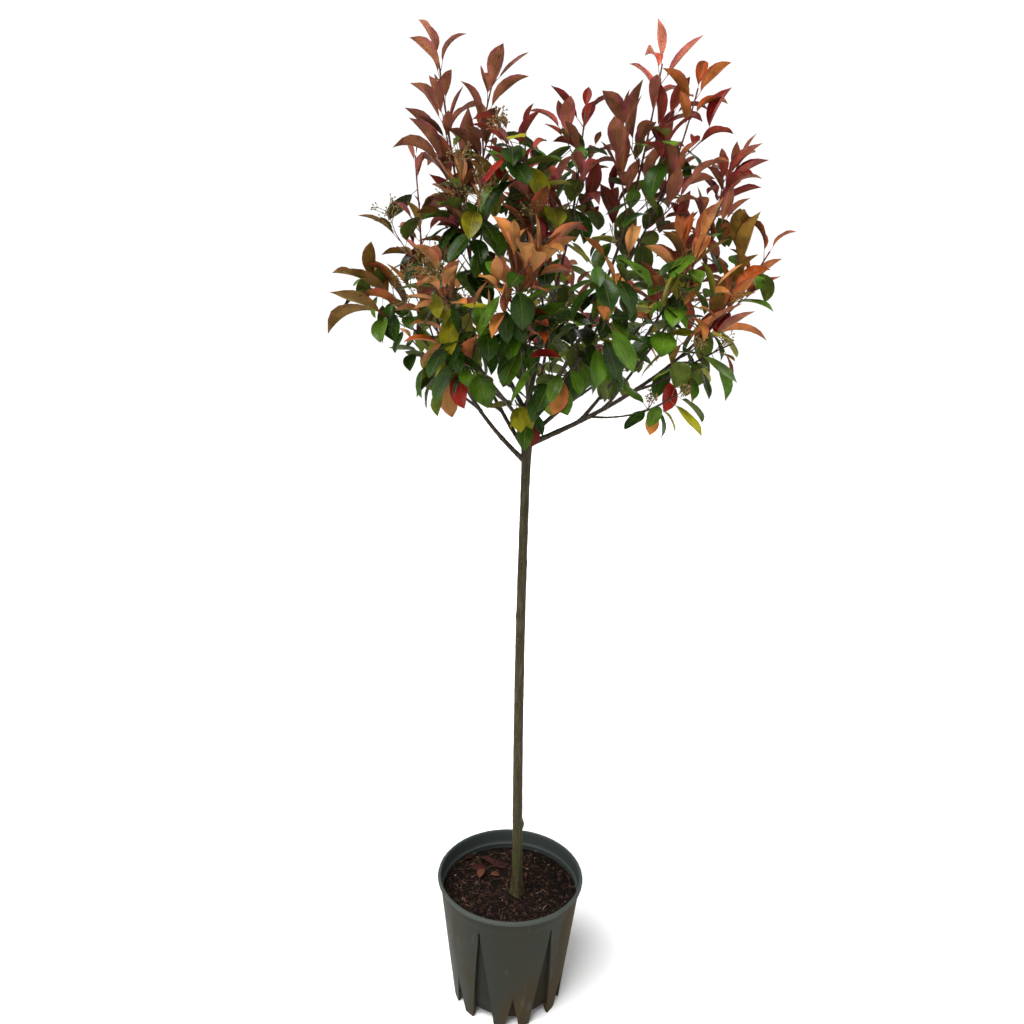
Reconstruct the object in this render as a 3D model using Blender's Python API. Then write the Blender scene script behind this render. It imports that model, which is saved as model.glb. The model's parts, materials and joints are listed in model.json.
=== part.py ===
"""Photinia grown as a standard in a nursery pot.

One clear stem carries a loose head of boughs.  Every bough is one tapering
limb, and ends where it enters its own mass of twigs and leaves.  Metres, +Z up,
the origin is on the ground at the middle of the pot's flat underside.
"""
import math
import random
from collections import namedtuple

import bmesh
import bpy
import numpy as np
from mathutils.bvhtree import BVHTree

# ---- driving sizes, metres and degrees --------------------------------------

CLEARANCE = 0.0003          # gap between two pieces that touch

POT_HEIGHT = 0.280
POT_RIM_RADIUS = 0.160      # outside of the rolled rim
POT_COLLAR_RADIUS = 0.1545  # straight collar under the rim
POT_TOP_RADIUS = 0.1515     # wall just under the collar
POT_BASE_RADIUS = 0.1200    # wall at the ground
POT_WALL = 0.0025
RIM_DEPTH = 0.008
COLLAR_BOTTOM = 0.247
LEDGE_RADIUS = 0.1470       # stacking ledge inside the collar
PANELS = 6                  # wide wall panels round the pot
PANEL_TURN = 5.5            # the front panel faces this far right of -Y
FLUTE_TOP = 0.237           # recessed flutes between the panels
FLUTE_SLOPE = 0.005
FLUTE_HALF_ANGLE = 12.0     # at the ground, closing to a slit at the top
FLUTE_DEPTH = 0.010
FLUTE_DEPTH_TOP = 0.006
NOTCH_TOP = 0.076           # small notch that parts each panel into two legs
NOTCH_HALF_ANGLE = 7.2
NOTCH_DEPTH = 0.008
SLIT_HALF_ANGLE = 0.6
STEP_ANGLE = 0.5            # width of the steep side of a flute or a notch
FLOOR_RISE = 0.020          # floor between the legs, above the ground
FLOOR_THICK = 0.0035
LEG_THICK = 0.004
FOOT_RADIUS = 0.075         # flat middle of the underside

SOIL_TOP = 0.2385

HEAD_X = 0.006              # the stem's axis where the boughs leave it
TRUNK_FOOT = (0.0165, -0.012)
TRUNK_TOP = 1.318
TRUNK_BOW = (0.006, 0.003)  # how far the stem bends off its straight line
TRUNK_RADIUS_FOOT = 0.0112
TRUNK_RADIUS_HEAD = 0.0088
TRUNK_SIDES = 12
FOOT_RINGS = (0.0, 0.010, 0.025, 0.05, 0.09)    # above the compost
STEM_RINGS = (0.53, 0.66, 0.79, 0.92, 1.04, 1.13, 1.18, 1.215, 1.245, 1.275, 1.30)
FLARE_RADIUS = 0.0055
FLARE_HEIGHT = 0.022
FLARE_LOBE = 0.0025         # root flare, in four low lobes
HEAD_SWELL = 0.0030         # the stem thickens where its boughs crowd
HEAD_HEIGHT = 1.245
HEAD_LENGTH = 0.045
STUB_HEIGHT = 0.402         # pruned stub on the clear stem
STUB_SIZE = 0.0045
STUB_LENGTH = 0.009

LIMB_TIP_RADIUS = 0.0014
LIMB_TAPER = 0.7            # power by which a limb thins towards its tip
CHILD_SHARE = 0.78          # a side bough is thinner than the bough that carries it
CURVE_PULL = 0.36           # how far a limb keeps its first and last direction
SWAY = 0.007                # sideways wander of a limb
SWAY_TURNS = 7.0            # radians of wander along a limb
LINE_POINTS = 41
BOUGH_SIDES = 5
BOUGH_STEP = 0.06
STEM_SIDES = 4
STEM_STEP = 0.075

TWIG_SIDES = 3
SHOOT_SHARE = 0.66          # of the stem's radius, so that a shoot's root stays inside it
SHOOT_TIP_RADIUS = 0.0009
SHOOT_ANGLE = 48.0
SHOOT_RISE = 0.55           # how far a shoot bends towards upright
SHOOT_PLACES = (0.14, 0.84) # shares of the stem that carry shoots
GOLDEN_ANGLE = 137.508
SHOOT_SHIFTS = (0.0, 40.0, -40.0, 85.0, -85.0, 130.0, 180.0)
LEAF_SHIFTS = (0.0, 35.0, -35.0, 75.0, -75.0, 120.0, 180.0)

TIP_LEAVES = 3.3            # leaves round the end of a stem, and for each metre
TIP_LEAVES_EACH = 35.0      # of its tip
SHOOT_LEAVES = 4
LOW_LEAVES = 4              # old leaves on the lower half of a stem
LOW_PLACES = (0.12, 0.45)   # where they stand, at most this share of the way to
LOW_OF_TIP = 0.9            # the stem's tip
LOW_YOUNG = 0.2             # and how many of them are young
THIN = 0.4                  # the ends of a thin limb keep this much more leaf
LEAF_SIZES = (0.86, 1.12)
LEAF_DROOPS = (0.02, 0.16)  # how far a leaf's tip bends down, as a share of its length
LEAF_BELLY = 0.46           # where a leaf is widest
LEAF_FOLD = 0.020           # rise of a leaf's sides, as a share of its length
ROOT_SINK = 0.0003          # a leaf's root lies this far past its twig's axis

SPACE_MARGIN = 0.005        # a mass stays this much nearer to its own stem
TWIG_MARGIN = 0.004         # from a twig's axis to a limb's skin
LIMB_MARGIN = 0.0055        # from a leaf to a limb's skin
BLADE_ROOM = 0.0015         # kept free round a blade
STALK_SHARE = 0.22          # the narrow end of a leaf, which may cross its neighbours
LOWEST_LEAF = 0.15          # below the trunk's top
BODY_ROWS = (0.15, 0.25, 0.35, 0.46, 0.57, 0.68, 0.79, 0.9, 1.0)
BODY_COLUMNS = (-1.0, -0.5, 0.0, 0.5, 1.0)
NEAR = 0.12                 # leaves further apart than this can't touch
RIBBON = 0.002              # half width of a twig as leaves keep off it
STEM_SAMPLES = 33
BOUGH_SAMPLES = 65
HEAD_DEPTH = 0.35           # length of the stem's top that leaves keep off

# A habit is how young or old leaves grow: length, width as a share of it, the
# angle to the twig of the lowest and of the last leaf of a tuft, the spread of
# that angle, and how far the leaf sags from it.
Habit = namedtuple("Habit", "length width low_angle last_angle spread sag")
YOUNG_LEAF = Habit(0.102, 0.40, 62.0, 28.0, 8.0, (0.02, 0.02))
OLD_LEAF = Habit(0.096, 0.56, 84.0, 60.0, 10.0, (0.4, 1.7))

# A limb is a bough and the stem of the mass at its end.  It leaves its parent at
# a height of the trunk, or a share of another bough's length, and its tip is
# given by azimuth, reach from the stem's axis and height above the ground.
# "leave" and "arrive" are its slopes in degrees, "bare" the share of its length
# that is bough, "thick" the bough's first radius, "shoots" and "spread" the
# number and length of its side shoots, "young" the share of young leaves, "tip"
# the length of stem that its last leaves take, and "full" how leafy it is.
Limb = namedtuple("Limb", "name parent start azimuth reach height leave arrive "
                          "bare thick shoots spread young tip full")
LIMBS = (
    Limb("left", "trunk", 1.192, 186, 0.215, 1.63, 40, 84, 0.48, 0.0054, 4, 0.09, 0.5, 0.055, 0.9),
    Limb("left_wing", "left", 0.93, 184, 0.328, 1.542, 34, 36, 0.28, 0.003, 3, 0.06, 0.5, 0.05, 0.7),
    Limb("left_low", "left", 0.6, 170, 0.24, 1.425, 30, 40, 0.35, 0.0026, 2, 0.05, 0.1, 0.05, 0.4),
    Limb("left_spire", "left_wing", 0.6, 174, 0.23, 1.765, 62, 86, 0.42, 0.0026, 1, 0.045, 1.0, 0.06, 0.5),
    Limb("left_leader", "trunk", 1.284, 172, 0.19, 1.937, 58, 80, 0.46, 0.005, 5, 0.085, 1.0, 0.17, 0.9),
    Limb("leader_side", "left_leader", 0.9, 184, 0.085, 1.885, 74, 72, 0.44, 0.003, 2, 0.07, 1.0, 0.11, 0.6),
    Limb("middle_left", "left_leader", 0.55, 222, 0.175, 1.69, 50, 80, 0.36, 0.0042, 4, 0.085, 0.6, 0.055, 1.2),
    Limb("front_left", "trunk", 1.25, 236, 0.275, 1.52, 38, 60, 0.36, 0.0046, 4, 0.085, 0.5, 0.055, 1.1),
    Limb("front_left_low", "front_left", 0.75, 222, 0.205, 1.435, 24, 45, 0.35, 0.0028, 2, 0.06, 0.1, 0.05, 0.4),
    Limb("front", "trunk", 1.29, 262, 0.24, 1.56, 50, 82, 0.34, 0.0044, 4, 0.08, 0.7, 0.055, 1.3),
    Limb("front_right", "trunk", 1.268, 299, 0.3, 1.55, 42, 66, 0.36, 0.0046, 4, 0.085, 0.3, 0.055, 1.1),
    Limb("front_low", "front_right", 0.6, 286, 0.215, 1.39, 12, 30, 0.35, 0.0028, 3, 0.065, 0.0, 0.05, 0.4),
    Limb("middle_top", "trunk", 1.317, 25, 0.1, 1.86, 76, 86, 0.42, 0.005, 4, 0.085, 0.9, 0.07, 1.0),
    Limb("middle_front", "middle_top", 0.42, 262, 0.16, 1.755, 52, 84, 0.34, 0.0048, 4, 0.09, 0.5, 0.055, 1.2),
    Limb("right_leader", "trunk", 1.272, 2, 0.225, 1.93, 54, 82, 0.44, 0.0052, 5, 0.09, 1.0, 0.11, 1.0),
    Limb("right_outer", "right_leader", 0.6, 350, 0.285, 1.87, 55, 78, 0.36, 0.004, 4, 0.085, 0.9, 0.1, 0.9),
    Limb("right", "trunk", 1.226, 355, 0.438, 1.6, 24, 62, 0.46, 0.0062, 4, 0.085, 0.9, 0.06, 0.9),
    Limb("right_shoulder", "right", 0.42, 4, 0.385, 1.77, 50, 70, 0.4, 0.0048, 4, 0.085, 0.9, 0.07, 1.1),
    Limb("right_front", "right", 0.62, 332, 0.325, 1.6, 45, 70, 0.36, 0.004, 4, 0.08, 0.6, 0.055, 1.1),
    Limb("right_low", "right", 0.88, 342, 0.378, 1.428, 12, 20, 0.25, 0.003, 2, 0.065, 0.1, 0.05, 0.45),
    Limb("right_twig", "right", 0.5, 330, 0.3, 1.335, -2, 30, 0.6, 0.0024, 1, 0.045, 0.1, 0.05, 0.3),
    Limb("back_right", "trunk", 1.24, 36, 0.39, 1.61, 36, 66, 0.38, 0.0052, 4, 0.09, 0.5, 0.06, 1.2),
    Limb("back_right_low", "back_right", 0.65, 42, 0.355, 1.455, 15, 30, 0.35, 0.0032, 3, 0.07, 0.1, 0.05, 0.4),
    Limb("back", "trunk", 1.278, 78, 0.35, 1.63, 42, 70, 0.38, 0.005, 4, 0.09, 0.5, 0.06, 1.3),
    Limb("back_low", "back", 0.6, 90, 0.3, 1.45, 15, 30, 0.35, 0.0032, 3, 0.07, 0.1, 0.05, 0.4),
    Limb("back_left", "trunk", 1.215, 128, 0.335, 1.61, 38, 68, 0.38, 0.0052, 4, 0.09, 0.5, 0.06, 1.2),
    Limb("back_left_low", "back_left", 0.6, 138, 0.265, 1.45, 15, 30, 0.35, 0.0032, 3, 0.07, 0.1, 0.05, 0.4),
    Limb("back_top", "middle_top", 0.62, 95, 0.235, 1.8, 50, 78, 0.34, 0.0048, 4, 0.09, 0.8, 0.07, 1.2),
    Limb("fork", "trunk", 1.275, 248, 0.07, 1.315, 22, 12, 0.0, 0.0026, 2, 0.04, 0.0, 0.05, 0.5),
)
Twig = namedtuple("Twig", "points first_radius last_radius sides first_direction")
Tuft = namedtuple("Tuft", "points count first last young turn")
Leaf = namedtuple("Leaf", "root direction normal length width droop")

Look = namedtuple("Look", "colour roughness")
BARK = Look((0.115, 0.088, 0.058), 0.85)
YOUNG_BARK = Look((0.135, 0.120, 0.070), 0.8)
POT_PLASTIC = Look((0.082, 0.088, 0.072), 0.5)
COMPOST = Look((0.030, 0.020, 0.014), 0.95)
GREEN_LEAF = Look((0.055, 0.160, 0.040), 0.45)
BRONZE_LEAF = Look((0.330, 0.105, 0.055), 0.4)
BRONZE_FROM = 0.45          # masses with more young leaves than this are bronze


# ---- scene and materials ----------------------------------------------------

def clear_scene():
    for old in list(bpy.data.objects):
        bpy.data.objects.remove(old, do_unlink=True)


def make_material(name, look):
    material = bpy.data.materials.new(name)
    material.use_nodes = True
    shader = material.node_tree.nodes["Principled BSDF"]
    shader.inputs["Base Color"].default_value = (*look.colour, 1.0)
    shader.inputs["Roughness"].default_value = look.roughness
    shader.inputs["Metallic"].default_value = 0.0
    return material


def object_from(name, verts, faces, material=None, collection=None):
    mesh = bpy.data.meshes.new(name)
    mesh.from_pydata([tuple(v) for v in verts], [], faces)
    work = bmesh.new()
    work.from_mesh(mesh)
    bmesh.ops.recalc_face_normals(work, faces=work.faces)
    if work.calc_volume(signed=True) < 0.0:
        bmesh.ops.reverse_faces(work, faces=work.faces)
    bmesh.ops.triangulate(work, faces=work.faces)
    work.to_mesh(mesh)
    work.free()
    made = bpy.data.objects.new(name, mesh)
    (collection or bpy.context.scene.collection).objects.link(made)
    if material:
        mesh.materials.append(material)
    return made


def apply_modifiers(piece):
    """Turn the evaluated object into its plain mesh."""
    graph = bpy.context.evaluated_depsgraph_get()
    graph.update()
    plain = bpy.data.meshes.new_from_object(piece.evaluated_get(graph))
    piece.modifiers.clear()
    piece.data = plain


def cut_clear(piece, blocker):
    """Cut the blocker's swollen shape out of a piece, and drop the blocker."""
    cut = piece.modifiers.new("clear", 'BOOLEAN')
    cut.operation = 'DIFFERENCE'
    cut.solver = 'EXACT'
    cut.object = blocker
    apply_modifiers(piece)
    bpy.data.objects.remove(blocker, do_unlink=True)


# ---- pot and compost --------------------------------------------------------

def wall_radius(z):
    return POT_BASE_RADIUS + (POT_TOP_RADIUS - POT_BASE_RADIUS) * z / COLLAR_BOTTOM


def wedge(z, top, half_angle):
    """Half width of an upright wedge that closes to a slit at its top."""
    return max(SLIT_HALF_ANGLE, half_angle * (1.0 - z / top))


def flute_depth(z):
    if z >= FLUTE_TOP:
        return 0.0
    low = FLUTE_TOP - FLUTE_SLOPE
    if z > low:
        return FLUTE_DEPTH_TOP * (FLUTE_TOP - z) / FLUTE_SLOPE
    return FLUTE_DEPTH + (FLUTE_DEPTH_TOP - FLUTE_DEPTH) * z / low


def notch_depth(z):
    return NOTCH_DEPTH * max(0.0, 1.0 - z / NOTCH_TOP)


def wall_columns(z, widen):
    """Angle from the panel's middle and recess of each column, for one panel."""
    notch = wedge(z, NOTCH_TOP, NOTCH_HALF_ANGLE) + widen
    flute = wedge(z, FLUTE_TOP, FLUTE_HALF_ANGLE) + widen
    half = 180.0 / PANELS
    plain = 0.5 * (notch + half - flute)
    side = [(notch - STEP_ANGLE, notch_depth(z)), (notch, 0.0), (plain, 0.0),
            (half - flute, 0.0), (half - flute + STEP_ANGLE, flute_depth(z))]
    return side + [(2.0 * half - angle, depth) for angle, depth in reversed(side)]


def wall_ring(z, radius, widen=0.0, depth_at=None, raised=None):
    """One ring of the fluted wall; "raised" is the height of recessed columns."""
    ring = []
    depths = wall_columns(z if depth_at is None else depth_at, widen)
    for panel in range(PANELS):
        for angle, depth in depths:
            turn = math.radians(PANEL_TURN + panel * 360.0 / PANELS + angle)
            recessed = depth > 0.0
            height = raised if recessed and raised is not None else z
            r = radius - depth
            ring.append((r * math.sin(turn), -r * math.cos(turn), height))
    return ring


def skin_rings(rings, first_pole, last_pole):
    """Close a stack of equal rings with a pole at each end."""
    verts = [first_pole]
    for ring in rings:
        verts.extend(ring)
    verts.append(last_pole)
    n = len(rings[0])
    faces = []
    for k in range(n):
        faces.append((0, 1 + (k + 1) % n, 1 + k))
    for row in range(len(rings) - 1):
        low = 1 + row * n
        high = low + n
        for k in range(n):
            j = (k + 1) % n
            faces.append((low + k, low + j, high + j))
            faces.append((low + k, high + j, high + k))
    last = 1 + (len(rings) - 1) * n
    pole = len(verts) - 1
    for k in range(n):
        faces.append((last + k, last + (k + 1) % n, pole))
    return verts, faces


def build_pot(material):
    wall_angle = math.degrees(POT_WALL / POT_BASE_RADIUS)
    flute_low = FLUTE_TOP - FLUTE_SLOPE
    floor_top = FLOOR_RISE + FLOOR_THICK
    rim_low = POT_HEIGHT - RIM_DEPTH
    foot_side = FOOT_RADIUS + FLOOR_THICK
    leg = wall_radius(0.0)
    rings = [
        wall_ring(0.0, FOOT_RADIUS, depth_at=FLUTE_TOP),
        wall_ring(FLOOR_RISE, foot_side, depth_at=FLUTE_TOP),
        wall_ring(FLOOR_RISE, leg - LEG_THICK - 0.002, depth_at=0.0),
        wall_ring(0.0, leg - LEG_THICK, depth_at=0.0, raised=FLOOR_RISE),
        wall_ring(0.0, leg, depth_at=0.0, raised=FLOOR_RISE),
    ]
    for z in (NOTCH_TOP, flute_low, FLUTE_TOP, COLLAR_BOTTOM):
        rings.append(wall_ring(z, wall_radius(z)))
    rings.append(wall_ring(COLLAR_BOTTOM + 0.001, POT_COLLAR_RADIUS))
    rings.append(wall_ring(rim_low, POT_COLLAR_RADIUS + 0.0005))
    rings.append(wall_ring(rim_low + 0.001, POT_RIM_RADIUS))
    rings.append(wall_ring(POT_HEIGHT, POT_RIM_RADIUS))
    collar_inside = POT_COLLAR_RADIUS - POT_WALL
    rings.append(wall_ring(POT_HEIGHT, collar_inside))
    rings.append(wall_ring(COLLAR_BOTTOM + POT_WALL, collar_inside - 0.001))
    rings.append(wall_ring(COLLAR_BOTTOM, LEDGE_RADIUS))
    for z in (FLUTE_TOP + POT_WALL, flute_low + POT_WALL, floor_top):
        depth_at = floor_top if z == floor_top else z - POT_WALL
        rings.append(wall_ring(z, wall_radius(z) - POT_WALL, wall_angle, depth_at))
    rings.append(wall_ring(floor_top, FOOT_RADIUS, depth_at=FLUTE_TOP))
    rings.append(wall_ring(FLOOR_THICK, FOOT_RADIUS - FLOOR_THICK, depth_at=FLUTE_TOP))
    verts, faces = skin_rings(rings, (0, 0, 0), (0, 0, FLOOR_THICK))
    return object_from("pot", verts, faces, material)


def build_compost(material):
    """Fills the pot: its rings follow those of the wall's inside, from the top down."""
    gap = 0.0004
    wall_angle = math.degrees((POT_WALL + gap) / POT_BASE_RADIUS)
    flute_low = FLUTE_TOP - FLUTE_SLOPE
    floor_top = FLOOR_RISE + FLOOR_THICK
    high = wall_radius(flute_low) - POT_WALL - gap
    low = wall_radius(floor_top) - POT_WALL - gap
    rings = [
        wall_ring(SOIL_TOP, high, wall_angle, flute_low),
        wall_ring(flute_low + POT_WALL, high, wall_angle, flute_low),
        wall_ring(floor_top + gap, low, wall_angle, floor_top),
        wall_ring(floor_top + gap, FOOT_RADIUS - gap, depth_at=FLUTE_TOP),
        wall_ring(FLOOR_THICK + gap, FOOT_RADIUS - FLOOR_THICK - gap, depth_at=FLUTE_TOP),
    ]
    verts, faces = skin_rings(rings, (0, 0, SOIL_TOP), (0, 0, FLOOR_THICK + gap))
    return object_from("compost", verts, faces, material)


# ---- limbs ------------------------------------------------------------------

def unit(v):
    return v / np.linalg.norm(v)


def slope_direction(out, slope):
    angle = math.radians(slope)
    return np.array((out[0] * math.cos(angle), out[1] * math.cos(angle), math.sin(angle)))


def curve_between(first, first_direction, last, last_direction, count):
    """Points on one cubic curve with the given directions at its ends."""
    pull = CURVE_PULL * np.linalg.norm(last - first)
    a = first + first_direction * pull
    b = last - last_direction * pull
    points = []
    for k in range(count):
        t = k / (count - 1)
        u = 1.0 - t
        points.append(u**3 * first + 3 * u * u * t * a + 3 * u * t * t * b + t**3 * last)
    return np.array(points)


def point_along(points, share):
    """Position and direction at a share of a line's length."""
    steps = np.linalg.norm(np.diff(points, axis=0), axis=1)
    reach = np.concatenate(([0.0], np.cumsum(steps)))
    wanted = share * reach[-1]
    k = min(int(np.searchsorted(reach, wanted, side="right")) - 1, len(steps) - 1)
    k = max(k, 0)
    t = (wanted - reach[k]) / steps[k]
    return points[k] + (points[k + 1] - points[k]) * t, unit(points[k + 1] - points[k])


def part_of(points, first, last, count):
    """Evenly spaced points of a line between two shares of its length."""
    return np.array([point_along(points, first + (last - first) * k / (count - 1))[0]
                     for k in range(count)])


def trunk_axis(z):
    t = (z - SOIL_TOP) / (TRUNK_TOP - SOIL_TOP)
    x = TRUNK_FOOT[0] + (HEAD_X - TRUNK_FOOT[0]) * t - TRUNK_BOW[0] * math.sin(math.pi * t)
    y = TRUNK_FOOT[1] * (1.0 - t) + TRUNK_BOW[1] * math.sin(2.0 * math.pi * t)
    return np.array((x, y, z))


def trunk_radius(z):
    t = (z - SOIL_TOP) / (TRUNK_TOP - SOIL_TOP)
    radius = TRUNK_RADIUS_FOOT + (TRUNK_RADIUS_HEAD - TRUNK_RADIUS_FOOT) * t
    radius += FLARE_RADIUS * math.exp(-(z - SOIL_TOP) / FLARE_HEIGHT)
    return radius + HEAD_SWELL * math.exp(-((z - HEAD_HEIGHT) / HEAD_LENGTH) ** 2)


def limb_lines():
    """The whole centre line of every limb, bough and stem together."""
    lines = {}
    for limb in LIMBS:
        if limb.parent == "trunk":
            first = trunk_axis(limb.start)
        else:
            parent = lines[limb.parent]
            first = point_along(parent, limb.start * limb_named(limb.parent).bare)[0]
        turn = math.radians(limb.azimuth)
        last = np.array((HEAD_X + limb.reach * math.cos(turn), limb.reach * math.sin(turn), limb.height))
        away = last - first
        out = unit(np.array((away[0], away[1], 0.0)))
        line = curve_between(first, slope_direction(out, limb.leave),
                             last, slope_direction(out, limb.arrive), LINE_POINTS)
        rng = random.Random("sway " + limb.name)
        phase = rng.uniform(0.0, 2.0 * math.pi)
        side = np.array((-out[1], out[0], 0.0))
        for k, point in enumerate(line):
            t = k / (LINE_POINTS - 1)
            point += side * SWAY * math.sin(phase + SWAY_TURNS * t) * 4.0 * t * (1.0 - t)
        lines[limb.name] = line
    return lines


def limb_named(name):
    return next(limb for limb in LIMBS if limb.name == name)


def frame_along(points, first=None, last=None):
    """A direction and two cross directions at each point, without twist."""
    count = len(points)
    frames = []
    across = None
    for k in range(count):
        ahead = unit(points[min(k + 1, count - 1)] - points[max(k - 1, 0)])
        if k == 0 and first is not None:
            ahead = first
        if k == count - 1 and last is not None:
            ahead = last
        if across is None:
            across = np.array((0.0, 0.0, 1.0)) if abs(ahead[2]) < 0.8 else np.array((1.0, 0.0, 0.0))
        across = unit(across - ahead * np.dot(across, ahead))
        frames.append((ahead, across, np.cross(ahead, across)))
    return frames


def skin_sides(verts, sides):
    """Faces of a tube made of equal rings, with flat ends."""
    faces = [tuple(reversed(range(sides)))]
    for low in range(0, len(verts) - sides, sides):
        for k in range(sides):
            j = (k + 1) % sides
            faces.append((low + k, low + j, low + sides + j, low + sides + k))
    faces.append(tuple(range(len(verts) - sides, len(verts))))
    return faces


def tube(points, radii, sides, swell=0.0, first=None, last=None):
    """Rings round a line; the directions of its two ends may be given."""
    verts = []
    grow = swell / math.cos(math.pi / sides)
    for (_, across, other), point, radius in zip(frame_along(points, first, last), points, radii):
        for k in range(sides):
            turn = 2.0 * math.pi * k / sides
            verts.append(point + (across * math.cos(turn) + other * math.sin(turn)) * (radius + grow))
    return verts, skin_sides(verts, sides)


def trunk_shape(swell=0.0):
    heights = [SOIL_TOP + CLEARANCE + step for step in FOOT_RINGS]
    heights += [STUB_HEIGHT + step * STUB_LENGTH for step in (-2.0, 0.0, 2.0)]
    heights += [*STEM_RINGS, TRUNK_TOP]
    verts = []
    grow = swell / math.cos(math.pi / TRUNK_SIDES)
    for z in heights:
        centre = trunk_axis(z)
        lobe = FLARE_LOBE * math.exp(-(z - SOIL_TOP) / FLARE_HEIGHT)
        stub = STUB_SIZE * math.exp(-((z - STUB_HEIGHT) / STUB_LENGTH) ** 2)
        for k in range(TRUNK_SIDES):
            turn = 2.0 * math.pi * k / TRUNK_SIDES
            radius = trunk_radius(z) + grow + lobe * math.cos(4.0 * turn)
            radius += stub * max(0.0, math.cos(turn)) ** 6
            verts.append(centre + np.array((math.cos(turn), math.sin(turn), 0.0)) * radius)
    return verts, skin_sides(verts, TRUNK_SIDES)


def build_trunk(material):
    verts, faces = trunk_shape()
    return object_from("trunk", verts, faces, material)


def limb_radius(limb, share):
    """Radius at a share of the limb's whole length, thinner than its parent."""
    first = limb.thick
    if limb.parent != "trunk":
        parent = limb_named(limb.parent)
        first = min(first, CHILD_SHARE * limb_radius(parent, limb.start * parent.bare))
    return first + (LIMB_TIP_RADIUS - first) * share ** LIMB_TAPER


def bough_shape(limb, line, swell=0.0):
    length = np.linalg.norm(np.diff(line, axis=0), axis=1).sum() * limb.bare
    count = max(4, int(round(length / BOUGH_STEP)) + 1)
    points = part_of(line, 0.0, limb.bare, count)
    radii = [limb_radius(limb, limb.bare * k / (count - 1)) for k in range(count)]
    return tube(points, radii, BOUGH_SIDES, swell, last=point_along(line, limb.bare)[1])


def build_bough(limb, lines, material):
    verts, faces = bough_shape(limb, lines[limb.name])
    bough = object_from("bough_" + limb.name, verts, faces, material)
    if limb.parent == "trunk":
        verts, faces = trunk_shape(CLEARANCE)
    else:
        parent = limb_named(limb.parent)
        verts, faces = bough_shape(parent, lines[parent.name], CLEARANCE)
    cut_clear(bough, object_from("swollen_parent", verts, faces))
    return bough


# ---- room for twigs and leaves ----------------------------------------------

class Room:
    """Keeps each mass nearer to its own stem than to any other, off the limbs
    and with its leaves apart."""

    def __init__(self, lines):
        stems = []
        owners = []
        limb_points = []
        limb_radii = []
        for number, limb in enumerate(LIMBS):
            stem = part_of(lines[limb.name], limb.bare, 1.0, STEM_SAMPLES)
            stems.extend(stem)
            owners.extend([number] * len(stem))
            if limb.bare > 0.0:
                bough = part_of(lines[limb.name], 0.0, limb.bare, BOUGH_SAMPLES)
                limb_points.extend(bough)
                limb_radii.extend(limb_radius(limb, share)
                                  for share in np.linspace(0.0, limb.bare, BOUGH_SAMPLES))
        for z in np.linspace(TRUNK_TOP - HEAD_DEPTH, TRUNK_TOP, BOUGH_SAMPLES):
            limb_points.append(trunk_axis(z))
            limb_radii.append(trunk_radius(z))
        self.stems = np.array(stems)
        self.owners = np.array(owners)
        self.limb_points = np.array(limb_points)
        self.limb_radii = np.array(limb_radii)
        self.blades = []
        self.middles = np.zeros((0, 3))
        self.twig_tree = None

    def in_space(self, points, owner):
        apart = np.linalg.norm(points[:, None, :] - self.stems[None, :, :], axis=2)
        own = apart[:, self.owners == owner].min(axis=1)
        other = apart[:, self.owners != owner].min(axis=1)
        return bool(np.all(own + SPACE_MARGIN < other))

    def off_limbs(self, points, margin):
        apart = np.linalg.norm(points[:, None, :] - self.limb_points[None, :, :], axis=2)
        return bool(np.all(apart - self.limb_radii > margin))

    def off_blades(self, leaf):
        """No blade cuts another blade of the crown, or a twig of its own mass."""
        own = skin_tree([blade_skin(leaf)])
        near = np.linalg.norm(self.middles - blade_middle(leaf), axis=1) < NEAR
        close = [self.blades[k] for k in np.flatnonzero(near)]
        if close and skin_tree(close).overlap(own):
            return False
        return not self.twig_tree.overlap(own)

    def keep_leaf(self, leaf):
        self.blades.append(blade_skin(leaf))
        self.middles = np.vstack((self.middles, blade_middle(leaf)))

    def keep_twigs(self, twigs):
        self.twig_tree = skin_tree([twig_skin(twig) for twig in twigs])


def skin_tree(skins):
    verts = []
    faces = []
    for skin_verts, skin_faces in skins:
        first = len(verts)
        verts.extend(tuple(v) for v in skin_verts)
        faces.extend(tuple(first + k for k in face) for face in skin_faces)
    return BVHTree.FromPolygons(verts, faces)


def blade_skin(leaf):
    """The leaf without its stalk end, with a little room round it."""
    side = np.cross(leaf.direction, leaf.normal) * (0.5 * leaf.width + BLADE_ROOM)
    neck = leaf.root + leaf.direction * (leaf.length * STALK_SHARE)
    belly = leaf.root + leaf.direction * (leaf.length * LEAF_BELLY)
    tip = leaf.root + leaf.direction * (leaf.length + BLADE_ROOM) - leaf.normal * (leaf.length * leaf.droop)
    narrow = STALK_SHARE / LEAF_BELLY
    return ([neck - side * narrow, neck + side * narrow, belly + side, belly - side, tip],
            [(0, 1, 2, 3), (3, 2, 4)])


def blade_middle(leaf):
    return leaf.root + leaf.direction * (0.55 * leaf.length)


def twig_skin(twig):
    """A twig as a thin cross of two ribbons."""
    verts = []
    faces = []
    for pick in (1, 2):
        first = len(verts)
        for frame, point in zip(frame_along(twig.points), twig.points):
            verts.append(point - frame[pick] * RIBBON)
            verts.append(point + frame[pick] * RIBBON)
        for k in range(first, len(verts) - 2, 2):
            faces.append((k, k + 1, k + 3, k + 2))
    return verts, faces


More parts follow.
